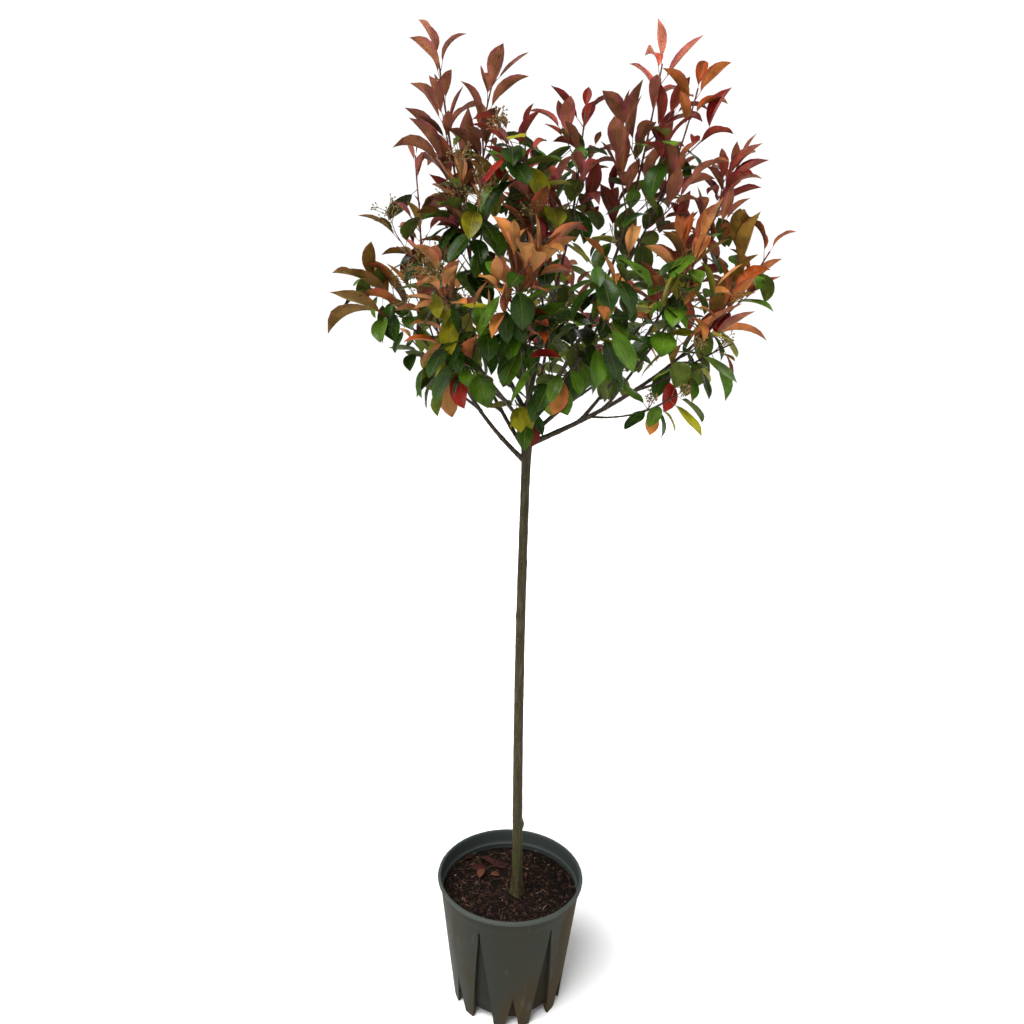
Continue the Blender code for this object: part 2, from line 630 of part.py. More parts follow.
def body_points(leaf):
    """Points spread over a leaf's diamond, without its stalk end."""
    side = np.cross(leaf.direction, leaf.normal) * (0.5 * leaf.width)
    points = []
    for row in BODY_ROWS:
        wide = min(row / LEAF_BELLY, (1.0 - row) / (1.0 - LEAF_BELLY))
        fall = max(0.0, row - LEAF_BELLY) / (1.0 - LEAF_BELLY) * leaf.droop
        middle = leaf.root + (leaf.direction * row - leaf.normal * fall) * leaf.length
        points.extend(middle + side * (wide * column) for column in BODY_COLUMNS)
    return np.array(points)


def leaf_fits(leaf, room, owner):
    body = body_points(leaf)
    if body[:, 2].min() < TRUNK_TOP - LOWEST_LEAF:
        return False
    if not room.in_space(body, owner) or not room.off_limbs(body, LIMB_MARGIN):
        return False
    return room.off_blades(leaf)


# ---- growth rule ------------------------------------------------------------

def side_direction(axis, turn):
    """The direction square to an axis at a turn round it, from its upper side."""
    up = np.array((0.0, 0.0, 1.0)) if abs(axis[2]) < 0.9 else np.array((1.0, 0.0, 0.0))
    across = unit(up - axis * np.dot(up, axis))
    angle = math.radians(turn)
    return across * math.cos(angle) + np.cross(axis, across) * math.sin(angle)


def leaf_on(points, share, turn, angle, sag, length, width, droop):
    """A leaf that leaves a twig at a share of its length, its face to the light."""
    root, axis = point_along(points, share)
    tilt = math.radians(angle)
    direction = axis * math.cos(tilt) + side_direction(axis, turn) * math.sin(tilt)
    direction = unit(direction - np.array((0.0, 0.0, sag)))
    light = axis * 0.5 + np.array((0.0, 0.0, 0.75))
    normal = light - direction * np.dot(light, direction)
    if np.linalg.norm(normal) < 0.05:
        normal = side_direction(direction, 0.0)
    return Leaf(root, direction, unit(normal), length, width, droop)


def grow_tuft(tuft, leaves, room, owner, rng):
    """Leaves up a shoot by the golden angle; those nearest its tip are youngest."""
    for k in range(tuft.count):
        share = tuft.first + (tuft.last - tuft.first) * k / max(1, tuft.count - 1)
        near_tip = (k + 1) / tuft.count
        is_young = rng.random() < tuft.young * (0.55 + 0.6 * near_tip)
        habit = YOUNG_LEAF if is_young else OLD_LEAF
        length = habit.length * rng.uniform(*LEAF_SIZES)
        droop = rng.uniform(*LEAF_DROOPS)
        angle = habit.low_angle + (habit.last_angle - habit.low_angle) * near_tip
        angle += rng.uniform(-habit.spread, habit.spread)
        sag = rng.uniform(*habit.sag)
        for shift in LEAF_SHIFTS:
            turn = tuft.turn + GOLDEN_ANGLE * k + shift
            leaf = leaf_on(tuft.points, share, turn, angle, sag, length, length * habit.width, droop)
            if leaf_fits(leaf, room, owner):
                leaves.append(leaf)
                room.keep_leaf(leaf)
                break


def shoot_line(stem, share, turn, length):
    """A straight shoot that leaves the stem at an angle and leans to upright."""
    root, axis = point_along(stem, share)
    tilt = math.radians(SHOOT_ANGLE)
    leaving = axis * math.cos(tilt) + side_direction(axis, turn) * math.sin(tilt)
    rising = unit(leaving * (1.0 - SHOOT_RISE) + np.array((0.0, 0.0, SHOOT_RISE)))
    return np.array((root, root + unit(leaving + rising) * length))


def grow_mass(number, limb, line, room):
    """Twigs and leaves of one mass, from its stem outwards."""
    rng = random.Random("grow " + limb.name)
    length = np.linalg.norm(np.diff(line, axis=0), axis=1).sum()
    stem_length = length * (1.0 - limb.bare)
    start = limb.bare + CLEARANCE / length if limb.bare > 0.0 else 0.0
    rings = max(3, int(round(stem_length / STEM_STEP)) + 1)
    stem = part_of(line, start, 1.0, rings)
    thick = limb_radius(limb, limb.bare)
    twigs = [Twig(stem, thick, LIMB_TIP_RADIUS, STEM_SIDES, point_along(line, limb.bare)[1])]
    phase = rng.uniform(0.0, 360.0)
    below_tip = 1.0 - limb.tip / stem_length
    end_leaf = min(1.0, THIN + limb.full)
    tip_leaves = round(end_leaf * (TIP_LEAVES + TIP_LEAVES_EACH * limb.tip))
    tufts = [Tuft(stem, tip_leaves, below_tip, 0.985, limb.young, phase)]
    last_place = min(SHOOT_PLACES[1], below_tip)
    for k in range(limb.shoots):
        share = SHOOT_PLACES[0] + (last_place - SHOOT_PLACES[0]) * (k + 0.4) / limb.shoots
        reach = limb.spread * (1.12 - 0.4 * share) * rng.uniform(0.85, 1.15)
        young = limb.young * rng.uniform(0.7, 1.2)
        leaf_turn = rng.uniform(0.0, 360.0)
        for shift in SHOOT_SHIFTS:
            points = shoot_line(stem, share, phase + GOLDEN_ANGLE * k + shift, reach)
            if room.in_space(points[1:], number) and room.off_limbs(points, TWIG_MARGIN):
                root_radius = SHOOT_SHARE * (thick + (LIMB_TIP_RADIUS - thick) * share)
                twigs.append(Twig(points, root_radius, SHOOT_TIP_RADIUS, TWIG_SIDES, None))
                tufts.append(Tuft(points, round(SHOOT_LEAVES * end_leaf), 0.42, 0.97,
                                  young, leaf_turn))
                break
    low_leaves = round(LOW_LEAVES * min(1.0, limb.full))
    low_end = min(LOW_PLACES[1], LOW_OF_TIP * below_tip)
    tufts.append(Tuft(stem, low_leaves, LOW_PLACES[0], low_end, LOW_YOUNG * limb.young,
                      phase + 90.0))
    room.keep_twigs(twigs)
    leaves = []
    for tuft in tufts:
        grow_tuft(tuft, leaves, room, number, rng)
    return twigs, leaves


# ---- masses -----------------------------------------------------------------

def leaf_shape(leaf):
    """Four faces: a keel from root to tip underneath, and raised sides."""
    side = np.cross(leaf.direction, leaf.normal) * (0.5 * leaf.width)
    belly = leaf.root + leaf.direction * (leaf.length * LEAF_BELLY)
    belly = belly + leaf.normal * (LEAF_FOLD * leaf.length)
    tip = leaf.root + leaf.direction * leaf.length - leaf.normal * (leaf.length * leaf.droop)
    verts = [leaf.root - leaf.direction * ROOT_SINK, belly + side, tip, belly - side]
    faces = [(0, 3, 1), (1, 3, 2), (0, 1, 2), (0, 2, 3)]
    return verts, faces


def keep_outer_shell(piece):
    """Fill sealed hollows and drop loose scraps: only the largest shell stays."""
    work = bmesh.new()
    work.from_mesh(piece.data)
    left = set(work.faces)
    shells = []
    while left:
        shell = [left.pop()]
        for face in shell:
            for edge in face.edges:
                for neighbour in edge.link_faces:
                    if neighbour in left:
                        left.remove(neighbour)
                        shell.append(neighbour)
        shells.append(shell)
    shells.sort(key=len)
    scraps = [face for shell in shells[:-1] for face in shell]
    bmesh.ops.delete(work, geom=scraps, context='FACES')
    bmesh.ops.triangulate(work, faces=work.faces)
    work.to_mesh(piece.data)
    work.free()


def build_mass(number, limb, lines, room, material):
    """One body: the stem, its shoots and its leaves, joined by one union."""
    twigs, leaves = grow_mass(number, limb, lines[limb.name], room)
    parts = bpy.data.collections.new("parts_" + limb.name)
    bpy.context.scene.collection.children.link(parts)
    mass = None
    for twig in twigs:
        radii = np.linspace(twig.first_radius, twig.last_radius, len(twig.points))
        verts, faces = tube(twig.points, radii, twig.sides, first=twig.first_direction)
        if mass is None:
            mass = object_from("leaves_" + limb.name, verts, faces, material)
        else:
            object_from("twig", verts, faces, None, parts)
    for leaf in leaves:
        verts, faces = leaf_shape(leaf)
        object_from("leaf", verts, faces, None, parts)
    join = mass.modifiers.new("join", 'BOOLEAN')
    join.operation = 'UNION'
    join.operand_type = 'COLLECTION'
    join.solver = 'EXACT'
    join.collection = parts
    apply_modifiers(mass)
    for part in list(parts.objects):
        bpy.data.objects.remove(part, do_unlink=True)
    bpy.data.collections.remove(parts)
    if limb.bare == 0.0:
        verts, faces = trunk_shape(CLEARANCE)
        cut_clear(mass, object_from("swollen_trunk", verts, faces))
    keep_outer_shell(mass)
    return mass


def main():
    clear_scene()
    build_pot(make_material("pot_plastic", POT_PLASTIC))
    build_compost(make_material("compost", COMPOST))
    build_trunk(make_material("bark", BARK))
    young_bark = make_material("young_bark", YOUNG_BARK)
    green = make_material("green_leaf", GREEN_LEAF)
    bronze = make_material("bronze_leaf", BRONZE_LEAF)
    lines = limb_lines()
    room = Room(lines)
    for limb in LIMBS:
        if limb.bare > 0.0:
            build_bough(limb, lines, young_bark)
    for number, limb in enumerate(LIMBS):
        build_mass(number, limb, lines, room, bronze if limb.young > BRONZE_FROM else green)


main()
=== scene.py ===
"""Photinia grown as a standard, dressed: pot, compost, stem, boughs, twigs and leaves."""

import json
import math
import random
from collections import namedtuple

import bpy
import numpy as np
from mathutils import Euler, Matrix, Vector, noise
from mathutils.bvhtree import BVHTree

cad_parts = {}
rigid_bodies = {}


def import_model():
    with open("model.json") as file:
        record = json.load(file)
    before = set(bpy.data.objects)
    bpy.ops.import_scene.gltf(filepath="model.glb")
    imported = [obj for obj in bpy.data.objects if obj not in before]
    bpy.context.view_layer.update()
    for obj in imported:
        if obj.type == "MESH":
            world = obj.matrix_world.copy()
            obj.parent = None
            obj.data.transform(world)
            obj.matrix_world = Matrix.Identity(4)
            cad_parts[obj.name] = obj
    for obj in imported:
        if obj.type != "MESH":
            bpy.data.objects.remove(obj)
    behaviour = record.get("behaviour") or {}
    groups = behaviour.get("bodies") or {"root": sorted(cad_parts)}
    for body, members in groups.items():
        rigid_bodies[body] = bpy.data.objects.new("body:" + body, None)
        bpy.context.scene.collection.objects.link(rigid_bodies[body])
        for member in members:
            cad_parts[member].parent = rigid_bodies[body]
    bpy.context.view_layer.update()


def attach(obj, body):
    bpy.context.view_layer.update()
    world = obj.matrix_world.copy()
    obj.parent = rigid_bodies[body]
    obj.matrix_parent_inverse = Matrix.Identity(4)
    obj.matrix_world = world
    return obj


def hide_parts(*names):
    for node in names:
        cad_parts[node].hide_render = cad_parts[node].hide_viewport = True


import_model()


# ---- nursery pot ------------------------------------------------------------
# A twelve litre grower's pot of thin polypropylene, moulded in one piece with a
# rolled rim.  Six panels are parted by flutes that open towards the ground, and
# a small notch parts each panel into two feet.

POT_TOP_RADIUS = 0.1515
POT_BASE_RADIUS = 0.1200
POT_WALL = 0.0025
COLLAR_BOTTOM = 0.247
PANELS = 6
PANEL_TURN = 5.5
FLUTE_TOP = 0.237
FLUTE_HALF_ANGLE = 12.0
FLUTE_DEPTH = 0.010
FLUTE_DEPTH_TOP = 0.006
NOTCH_TOP = 0.076
NOTCH_HALF_ANGLE = 7.2
NOTCH_DEPTH = 0.007
SLIT_HALF_ANGLE = 0.85      # a flute or notch never closes past this
STEEP_SIDE = 0.7            # degrees taken by the steep side of a flute
STEEP_STEPS = (0.0, 0.2, 0.5, 0.8, 1.0)
LAND_MARGIN = 0.4           # degrees between a steep side and the panel's flat
LAND_COLUMNS = 5
END_SLOPE = 0.004           # height in which a flute fades out at its top
FOOT_RISE = 0.020           # the flutes stop this far above the ground
FOOT_BLEND = 0.050
FOOT_THICK = 0.004
FOOT_LIP = 0.002            # the feet's inner side leans in by this
FOOT_EDGE = 0.0012
FLOOR_THICK = 0.0035
STAND_RADIUS = 0.075        # flat middle of the underside
POT_CREASE = 48

# Profiles, as heights and radii: the raised disc that the pot stands on, then
# the collar, the rolled rim and the ledge inside it where pots stack.
STAND_PROFILE = ((0.0, STAND_RADIUS - 0.004), (0.0, STAND_RADIUS),
                 (0.002, STAND_RADIUS + 0.0015), (FOOT_RISE, STAND_RADIUS + FLOOR_THICK))
RIM_PROFILE = (
    (0.2474, 0.1516), (0.2490, 0.1519), (0.2512, 0.1524), (0.2540, 0.1530),
    (0.2610, 0.1540), (0.2686, 0.1549), (0.2702, 0.1554), (0.2712, 0.1566),
    (0.2722, 0.1585), (0.2738, 0.1596), (0.2758, 0.1600), (0.2776, 0.1596),
    (0.2790, 0.1585), (0.2798, 0.1570), (0.2800, 0.1553), (0.2796, 0.1537),
    (0.2786, 0.1526), (0.2770, 0.1521), (0.2680, 0.1518), (0.2560, 0.1514),
    (0.2512, 0.1511), (0.2500, 0.1503), (0.2494, 0.1490), (0.2490, 0.1478),
    (0.2482, 0.1472), (0.2470, 0.1470), (0.2450, 0.1474), (0.2425, 0.1480))
RIM_ROWS_INSIDE = 13        # the last of them lie inside the pot
# Heights of the wall's rows, close together where a notch or a flute ends.
OUTER_ROWS = (0.0, 0.0015, 0.005, 0.011, 0.018, 0.027, 0.038, 0.050, 0.062,
              0.068, 0.0715, 0.0735, 0.0750, 0.0760, 0.0775,
              *(0.090 + 0.0165 * k for k in range(9)),
              0.2315, 0.2330, 0.2342, 0.2354, 0.2363, 0.2370, 0.2390, 0.2430, 0.2465)
INNER_ROWS = (0.2398, 0.2388, 0.2378, 0.2366, 0.2000, 0.1200, FOOT_RISE + FLOOR_THICK + 0.001)

POT_GREY = (0.0175, 0.0192, 0.0140)
POT_DUST = (0.044, 0.029, 0.011)
POT_INSIDE = (0.031, 0.037, 0.034)
POT_RIM = (0.044, 0.050, 0.042)
# Painted shade: the darkest colour, laid into the flutes and notches.
POT_RECESS_SHADE = (0.0045, 0.0042, 0.003)
POT_SCUFF = (0.06, 0.06, 0.047)
MOST_DUST = 0.85            # near the ground and at both sides
DUST_HEIGHT = 0.20
DUST_SIDES = (0.075, 0.135)
MOST_RECESS_SHADE = 0.72            # painted shade in the flutes and notches
MOST_SCUFF = 0.30
RIM_BAND = (0.268, 0.277)   # heights in which the wall's colour turns to the rim's
# A grain is how fine a pattern is, how much detail it has and how rough that is.
# A stretch draws it out along the axes: the smaller, the longer.
DUST_STRETCH, DUST_GRAIN = (1.0, 1.0, 0.5), (7.0,)
SMEAR_STRETCH, SMEAR_GRAIN = (1.0, 1.0, 0.22), (46.0, 4.0, 0.6)
MOULD_GRAIN, MOULD_DEPTH = (900.0, 2.0), 0.00005
POT_ROUGHNESS = (0.50, 0.80)    # clean, then dusty
POT_GLOSS = 0.07


def eased(t):
    t = min(1.0, max(0.0, t))
    return t * t * (3.0 - 2.0 * t)


def pot_wall_radius(z):
    return POT_BASE_RADIUS + (POT_TOP_RADIUS - POT_BASE_RADIUS) * z / COLLAR_BOTTOM


def flute_depth(z):
    end = eased((FLUTE_TOP - z) / END_SLOPE)
    return end * (FLUTE_DEPTH + (FLUTE_DEPTH_TOP - FLUTE_DEPTH) * z / FLUTE_TOP)


def notch_depth(z):
    return NOTCH_DEPTH * eased((NOTCH_TOP - z) / END_SLOPE)


def panel_columns(z, widen=0.0):
    """Angle from a panel's middle, recess and share of full recess of each column."""
    flute = max(SLIT_HALF_ANGLE, FLUTE_HALF_ANGLE * (1.0 - z / FLUTE_TOP)) + widen
    notch = max(SLIT_HALF_ANGLE, NOTCH_HALF_ANGLE * (1.0 - z / NOTCH_TOP)) + widen
    half = 180.0 / PANELS
    columns = [(0.0, notch_depth(z), 1.0), (0.5 * (notch - STEEP_SIDE), notch_depth(z), 1.0)]
    for s in STEEP_STEPS:
        sunk = 1.0 - eased(s)
        columns.append((notch - STEEP_SIDE + STEEP_SIDE * s, sunk * notch_depth(z), sunk))
    first, last = notch + LAND_MARGIN, half - flute - LAND_MARGIN
    columns += [(first + (last - first) * k / (LAND_COLUMNS - 1), 0.0, 0.0)
                for k in range(LAND_COLUMNS)]
    for s in STEEP_STEPS:
        sunk = eased(s)
        columns.append((half - flute + STEEP_SIDE * s, sunk * flute_depth(z), sunk))
    columns.append((half - 0.5 * (flute - STEEP_SIDE), flute_depth(z), 1.0))
    mirrored = [(2.0 * half - a, depth, sunk) for a, depth, sunk in reversed(columns[1:])]
    return columns + [(half, flute_depth(z), 1.0)] + mirrored


def pot_ring(z, radius, widen=0.0, fluted_as=None):
    """One ring of the wall; close to the ground its recessed part stops higher."""
    ring = []
    lift = 0.0
    if fluted_as is None:
        fluted_as = z
        lift = FOOT_RISE * (1.0 - z / FOOT_BLEND) if z < FOOT_BLEND else 0.0
    for panel in range(PANELS):
        for angle, depth, sunk in panel_columns(fluted_as, widen):
            turn = math.radians(PANEL_TURN + panel * 360.0 / PANELS + angle)
            r = radius - depth
            ring.append((r * math.sin(turn), -r * math.cos(turn), z + lift * sunk))
    return ring


def plain_rings(profile):
    """Round rings, without flutes."""
    return [pot_ring(z, radius, fluted_as=COLLAR_BOTTOM) for z, radius in profile]


def rings_to_skin(rings, first_pole, last_pole):
    """Join a stack of equal rings, closed by a pole at each end."""
    verts = [first_pole] + [point for ring in rings for point in ring] + [last_pole]
    count = len(rings[0])
    faces = [(0, 1 + (k + 1) % count, 1 + k) for k in range(count)]
    for row in range(len(rings) - 1):
        low, high = 1 + row * count, 1 + (row + 1) * count
        faces += [(low + k, low + (k + 1) % count, high + (k + 1) % count, high + k)
                  for k in range(count)]
    last = 1 + (len(rings) - 1) * count
    faces += [(last + k, last + (k + 1) % count, len(verts) - 1) for k in range(count)]
    return verts, faces


def solid_piece(name, verts, faces, finish, crease=None):
    """A smooth-shaded mesh object; edges sharper than the crease stay crisp."""
    mesh = bpy.data.meshes.new(name)
    mesh.from_pydata([tuple(v) for v in verts], [], faces)
    mesh.shade_smooth()
    if crease is not None:
        mesh.set_sharp_from_angle(angle=math.radians(crease))
    mesh.materials.append(finish)
    piece = bpy.data.objects.new(name, mesh)
    bpy.context.scene.collection.objects.link(piece)
    return piece


def point_values(mesh, name, values, kind='FLOAT', field="value"):
    """Store a value for each point of a mesh."""
    mesh.attributes.new(name, kind, 'POINT').data.foreach_set(field, values)


def fill_sockets(tree, node, values):
    """Link each socket to another node's output, or set it to a plain value."""
    for socket, value in values:
        if isinstance(value, bpy.types.NodeSocket):
            tree.links.new(value, node.inputs[socket])
        else:
            node.inputs[socket].default_value = value


def add(tree, kind, links=(), **settings):
    """Add a node with its properties and sockets."""
    node = tree.nodes.new(kind)
    for key, value in settings.items():
        setattr(node, key, value)
    fill_sockets(tree, node, links)
    return node


def new_finish(name):
    """A material, its tree, and the object's own coordinates."""
    finish = bpy.data.materials.new(name)
    finish.use_nodes = True
    tree = finish.node_tree
    return finish, tree, add(tree, 'ShaderNodeTexCoord').outputs["Object"]


def coat(tree, colour, roughness, gloss):
    fill_sockets(tree, tree.nodes["Principled BSDF"], (
        ("Base Color", colour), ("Roughness", roughness), ("Specular IOR Level", gloss)))


def relief(tree, height, distance, strength):
    bump = add(tree, 'ShaderNodeBump', links=(
        ("Height", height), ("Distance", distance), ("Strength", strength)))
    tree.links.new(bump.outputs["Normal"], tree.nodes["Principled BSDF"].inputs["Normal"])


def calc(tree, operation, *values):
    """One step of arithmetic on plain numbers and other nodes' outputs."""
    return add(tree, 'ShaderNodeMath', operation=operation, links=enumerate(values)).outputs[0]


def mixed(tree, share, first, second, blend='MIX'):
    """Mix two colours; each may be a plain colour or another node's output."""
    first, second = ((*colour, 1.0) if isinstance(colour, tuple) else colour
                     for colour in (first, second))
    return add(tree, 'ShaderNodeMix', data_type='RGBA', blend_type=blend, links=(
        (0, share), (6, first), (7, second))).outputs[2]


def ranged(tree, value, low, high, out_low=0.0, out_high=1.0):
    """Stretch a range of values to another, clamped and eased."""
    return add(tree, 'ShaderNodeMapRange', interpolation_type='SMOOTHSTEP', links=(
        ("Value", value), ("From Min", low), ("From Max", high),
        ("To Min", out_low), ("To Max", out_high))).outputs["Result"]


def up_to(tree, share, most):
    """Let a share between 0 and 1 reach no more than this."""
    return ranged(tree, share, 0.0, 1.0, 0.0, most)


def grain(tree, vector, scale, detail=3.0, roughness=0.5):
    return add(tree, 'ShaderNodeTexNoise', links=(
        ("Vector", vector), ("Scale", scale), ("Detail", detail),
        ("Roughness", roughness))).outputs["Fac"]


def stretched(tree, vector, scale):
    return add(tree, 'ShaderNodeMapping', links=(
        ("Vector", vector), ("Scale", scale))).outputs["Vector"]


def axes(tree, vector):
    return add(tree, 'ShaderNodeSeparateXYZ', links=(("Vector", vector),)).outputs


def painted(tree, name):
    """A value that the mesh carries."""
    return add(tree, 'ShaderNodeAttribute', attribute_name=name).outputs["Fac"]


def pot_plastic_finish():
    finish, tree, place = new_finish("pot_plastic")
    across, _, height = axes(tree, place)
    patches = grain(tree, stretched(tree, place, DUST_STRETCH), *DUST_GRAIN)
    low_dust = ranged(tree, height, DUST_HEIGHT, 0.0, 0.10, MOST_DUST)
    side_dust = ranged(tree, calc(tree, 'ABSOLUTE', across), *DUST_SIDES, 0.0, MOST_DUST)
    dust = calc(tree, 'MULTIPLY', ranged(tree, patches, 0.40, 0.66),
                calc(tree, 'MAXIMUM', low_dust, side_dust))
    smears = grain(tree, stretched(tree, place, SMEAR_STRETCH), *SMEAR_GRAIN)
    scuffs = calc(tree, 'MULTIPLY', ranged(tree, smears, 0.61, 0.72), MOST_SCUFF)
    colour = mixed(tree, dust, POT_GREY, POT_DUST)
    # Painted shade in the flutes and notches, by how deep each point lies.
    colour = mixed(tree, up_to(tree, painted(tree, "recess"), MOST_RECESS_SHADE), colour, POT_RECESS_SHADE)
    colour = mixed(tree, ranged(tree, height, *RIM_BAND), colour, POT_RIM)
    colour = mixed(tree, scuffs, colour, POT_SCUFF)
    colour = mixed(tree, painted(tree, "inside"), colour, POT_INSIDE)
    coat(tree, colour, ranged(tree, dust, 0.0, 0.6, *POT_ROUGHNESS), POT_GLOSS)
    relief(tree, grain(tree, place, *MOULD_GRAIN), MOULD_DEPTH, 0.6)
    return finish


def build_pot(finish):
    inner_foot = [(x, y, FOOT_RISE) for x, y, _ in
                  pot_ring(FOOT_RISE, POT_BASE_RADIUS - FOOT_THICK - FOOT_LIP, fluted_as=0.0)]
    rings = [*plain_rings(STAND_PROFILE), inner_foot,
             pot_ring(0.0, POT_BASE_RADIUS - FOOT_THICK),
             pot_ring(0.0, POT_BASE_RADIUS - FOOT_EDGE),
             *(pot_ring(z, pot_wall_radius(z)) for z in OUTER_ROWS), *plain_rings(RIM_PROFILE)]
    outside = len(rings) - RIM_ROWS_INSIDE
    wall_angle = math.degrees(POT_WALL / POT_BASE_RADIUS)
    rings += [pot_ring(z, pot_wall_radius(z) - POT_WALL, wall_angle, z - POT_WALL)
              for z in INNER_ROWS]
    rings += plain_rings(((FOOT_RISE + FLOOR_THICK, STAND_RADIUS),
                          (FLOOR_THICK, STAND_RADIUS - FLOOR_THICK)))
    verts, faces = rings_to_skin(rings, (0, 0, 0), (0, 0, FLOOR_THICK))
    pot = solid_piece("nursery_pot", verts, faces, finish, POT_CREASE)
    inside = [1.0 if k > 1 + outside * len(rings[0]) else 0.0 for k in range(len(verts))]
    point_values(pot.data, "inside", inside)
    # How far each point lies sunk in a flute or notch; the finish paints shade there.
    deep = [max(0.0, pot_wall_radius(z) - math.hypot(x, y)) if FOOT_RISE < z < FLUTE_TOP else 0.0
            for x, y, z in (v.co for v in pot.data.vertices)]
    point_values(pot.data, "recess", [min(1.0, depth / FLUTE_DEPTH_TOP) * (1.0 - within)
                                      for depth, within in zip(deep, inside)])
    return pot


pot = build_pot(pot_plastic_finish())
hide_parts("pot")
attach(pot, "root")


# ---- compost ----------------------------------------------------------------
# Peat-free potting compost of shredded bark and wood fibre, dark when moist.
# It settles into low crumbs below the rim and heaps a little round the stem.

SOIL_TOP = 0.2385
SOIL_DEEP = 0.225           # underside of the modelled crust
SOIL_RINGS = 46
SOIL_SPOKES = 190
RING_CROWDING = 0.85        # rings lie closer together towards the wall
WALL_GAP = 0.0006
UNDERSIDE_SHARE = 0.96
STEM_FOOT = (0.0165, -0.012)
# Lumps, crumbs and grains: how closely they lie, how high, and a shift of each.
CRUMBS = ((22.0, 0.0022, 0.3), (75.0, 0.0024, 4.1), (210.0, 0.0016, 7.7))
EDGE_CALM = (14.0, 0.3)     # the crumbs are lower where the crust meets the wall
SOIL_SINK = 0.0015
MOUND_HEIGHT = 0.004
MOUND_RADIUS = 0.035

SOIL_DARK = (0.0025, 0.0016, 0.0012)
SOIL_LIGHT = (0.020, 0.0095, 0.0055)
SPECK_GRAIN = (160.0, 6.0, 0.7)
DRY_GRAIN = (14.0,)         # patches that have dried a little, and are paler
GRIT_GRAIN, GRIT_DEPTH = (420.0, 5.0, 0.65), 0.0008
SOIL_ROUGHNESS = 0.92
SOIL_GLOSS = 0.08


def crumb_height(x, y):
    crumbs = sum(height * noise.noise(Vector((x * closeness, y * closeness, shift)))
                 for closeness, height, shift in CRUMBS)
    from_stem = math.hypot(x - STEM_FOOT[0], y - STEM_FOOT[1])
    return crumbs + MOUND_HEIGHT * math.exp(-from_stem / MOUND_RADIUS) - SOIL_SINK


def build_compost(finish):
    top = []
    for ring in range(SOIL_RINGS, 0, -1):
        share = (ring / SOIL_RINGS) ** RING_CROWDING
        r = share * (pot_wall_radius(SOIL_TOP) - POT_WALL - WALL_GAP)
        calm = min(1.0, EDGE_CALM[0] * (1.0 - share) + EDGE_CALM[1])
        for k in range(SOIL_SPOKES):
            turn = 2.0 * math.pi * k / SOIL_SPOKES
            x, y = r * math.sin(turn), -r * math.cos(turn)
            top.append((x, y, SOIL_TOP + crumb_height(x, y) * calm))
    rim = [(x * UNDERSIDE_SHARE, y * UNDERSIDE_SHARE, SOIL_DEEP) for x, y, _ in top[:SOIL_SPOKES]]
    rings = [rim] + [top[k:k + SOIL_SPOKES] for k in range(0, len(top), SOIL_SPOKES)]
    verts, faces = rings_to_skin(rings, (0, 0, SOIL_DEEP), (0, 0, SOIL_TOP + crumb_height(0, 0)))
    return solid_piece("compost_crust", verts, faces, finish)


def compost_finish():
    finish, tree, place = new_finish("compost")
    specks = ranged(tree, grain(tree, place, *SPECK_GRAIN), 0.42, 0.72)
    dry = ranged(tree, grain(tree, place, *DRY_GRAIN), 0.35, 0.65, 0.25, 1.0)
    colour = mixed(tree, calc(tree, 'MULTIPLY', specks, dry), SOIL_DARK, SOIL_LIGHT)
    coat(tree, colour, SOIL_ROUGHNESS, SOIL_GLOSS)
    relief(tree, grain(tree, place, *GRIT_GRAIN), GRIT_DEPTH, 0.9)
    return finish


compost = build_compost(compost_finish())
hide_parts("compost")
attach(compost, "root")


# ---- bits on the compost ----------------------------------------------------
# Shreds of bark, wood fibre, grit and straw lie as they fell when the pot was
# filled.  Each kind is scattered over the crust at its own density and tilt.

Bit = namedtuple("Bit", "name corners per_m2 smallest largest tilt seed colour")
CHIP = ((-0.5, -0.2, 0.0), (0.35, -0.28, 0.02), (0.5, 0.12, 0.05), (-0.42, 0.24, 0.03))
SPLINTER = ((-0.5, -0.035, 0.0), (0.5, -0.02, 0.04), (0.48, 0.03, 0.05), (-0.5, 0.04, 0.02))
CRUMB = ((-0.5, -0.4, 0.0), (0.4, -0.5, 0.05), (0.5, 0.45, -0.05), (-0.4, 0.5, 0.05))
BITS = (
    Bit("soil_crumbs", CRUMB, 26000.0, 0.0016, 0.0042, 1.4, 3, (0.012, 0.0075, 0.005)),
    Bit("bark_chips", CHIP, 9000.0, 0.004, 0.012, 0.7, 5, (0.042, 0.018, 0.011)),
    Bit("wood_fibres", SPLINTER, 8000.0, 0.006, 0.018, 0.45, 8, (0.075, 0.038, 0.024)),
    Bit("pale_grit", CRUMB, 260.0, 0.003, 0.006, 1.4, 21, (0.150, 0.145, 0.120)),
    Bit("pale_straws", SPLINTER, 1200.0, 0.006, 0.018, 0.40, 13, (0.190, 0.135, 0.090)),
)
FLAKE_THICK = 0.05          # as a share of its length
DARK_SIDE = 0.35            # the darkest spots of a bit, as a share of its colour
CRUST_REACH = 0.1455        # bits lie no further out than this
CRUST_FACING = 0.2          # nor where the crust is steeper than this
BIT_GRAIN = (95.0, 2.0)
FIBRE_GRAIN, FIBRE_DEPTH = (700.0, 3.0), 0.0003
BIT_ROUGHNESS = 0.85
BIT_GLOSS = 0.12


def new_tree(name, sockets):
    """A Geometry Nodes tree with named inputs, and its first and last node."""
    tree = bpy.data.node_groups.new(name, 'GeometryNodeTree')
    tree.is_modifier = True
    tree.interface.new_socket("Geometry", in_out='INPUT', socket_type='NodeSocketGeometry')
    for label, kind in sockets:
        tree.interface.new_socket(label, in_out='INPUT', socket_type='NodeSocket' + kind)
    tree.interface.new_socket("Geometry", in_out='OUTPUT', socket_type='NodeSocketGeometry')
    return tree, tree.nodes.new('NodeGroupInput').outputs, tree.nodes.new('NodeGroupOutput')


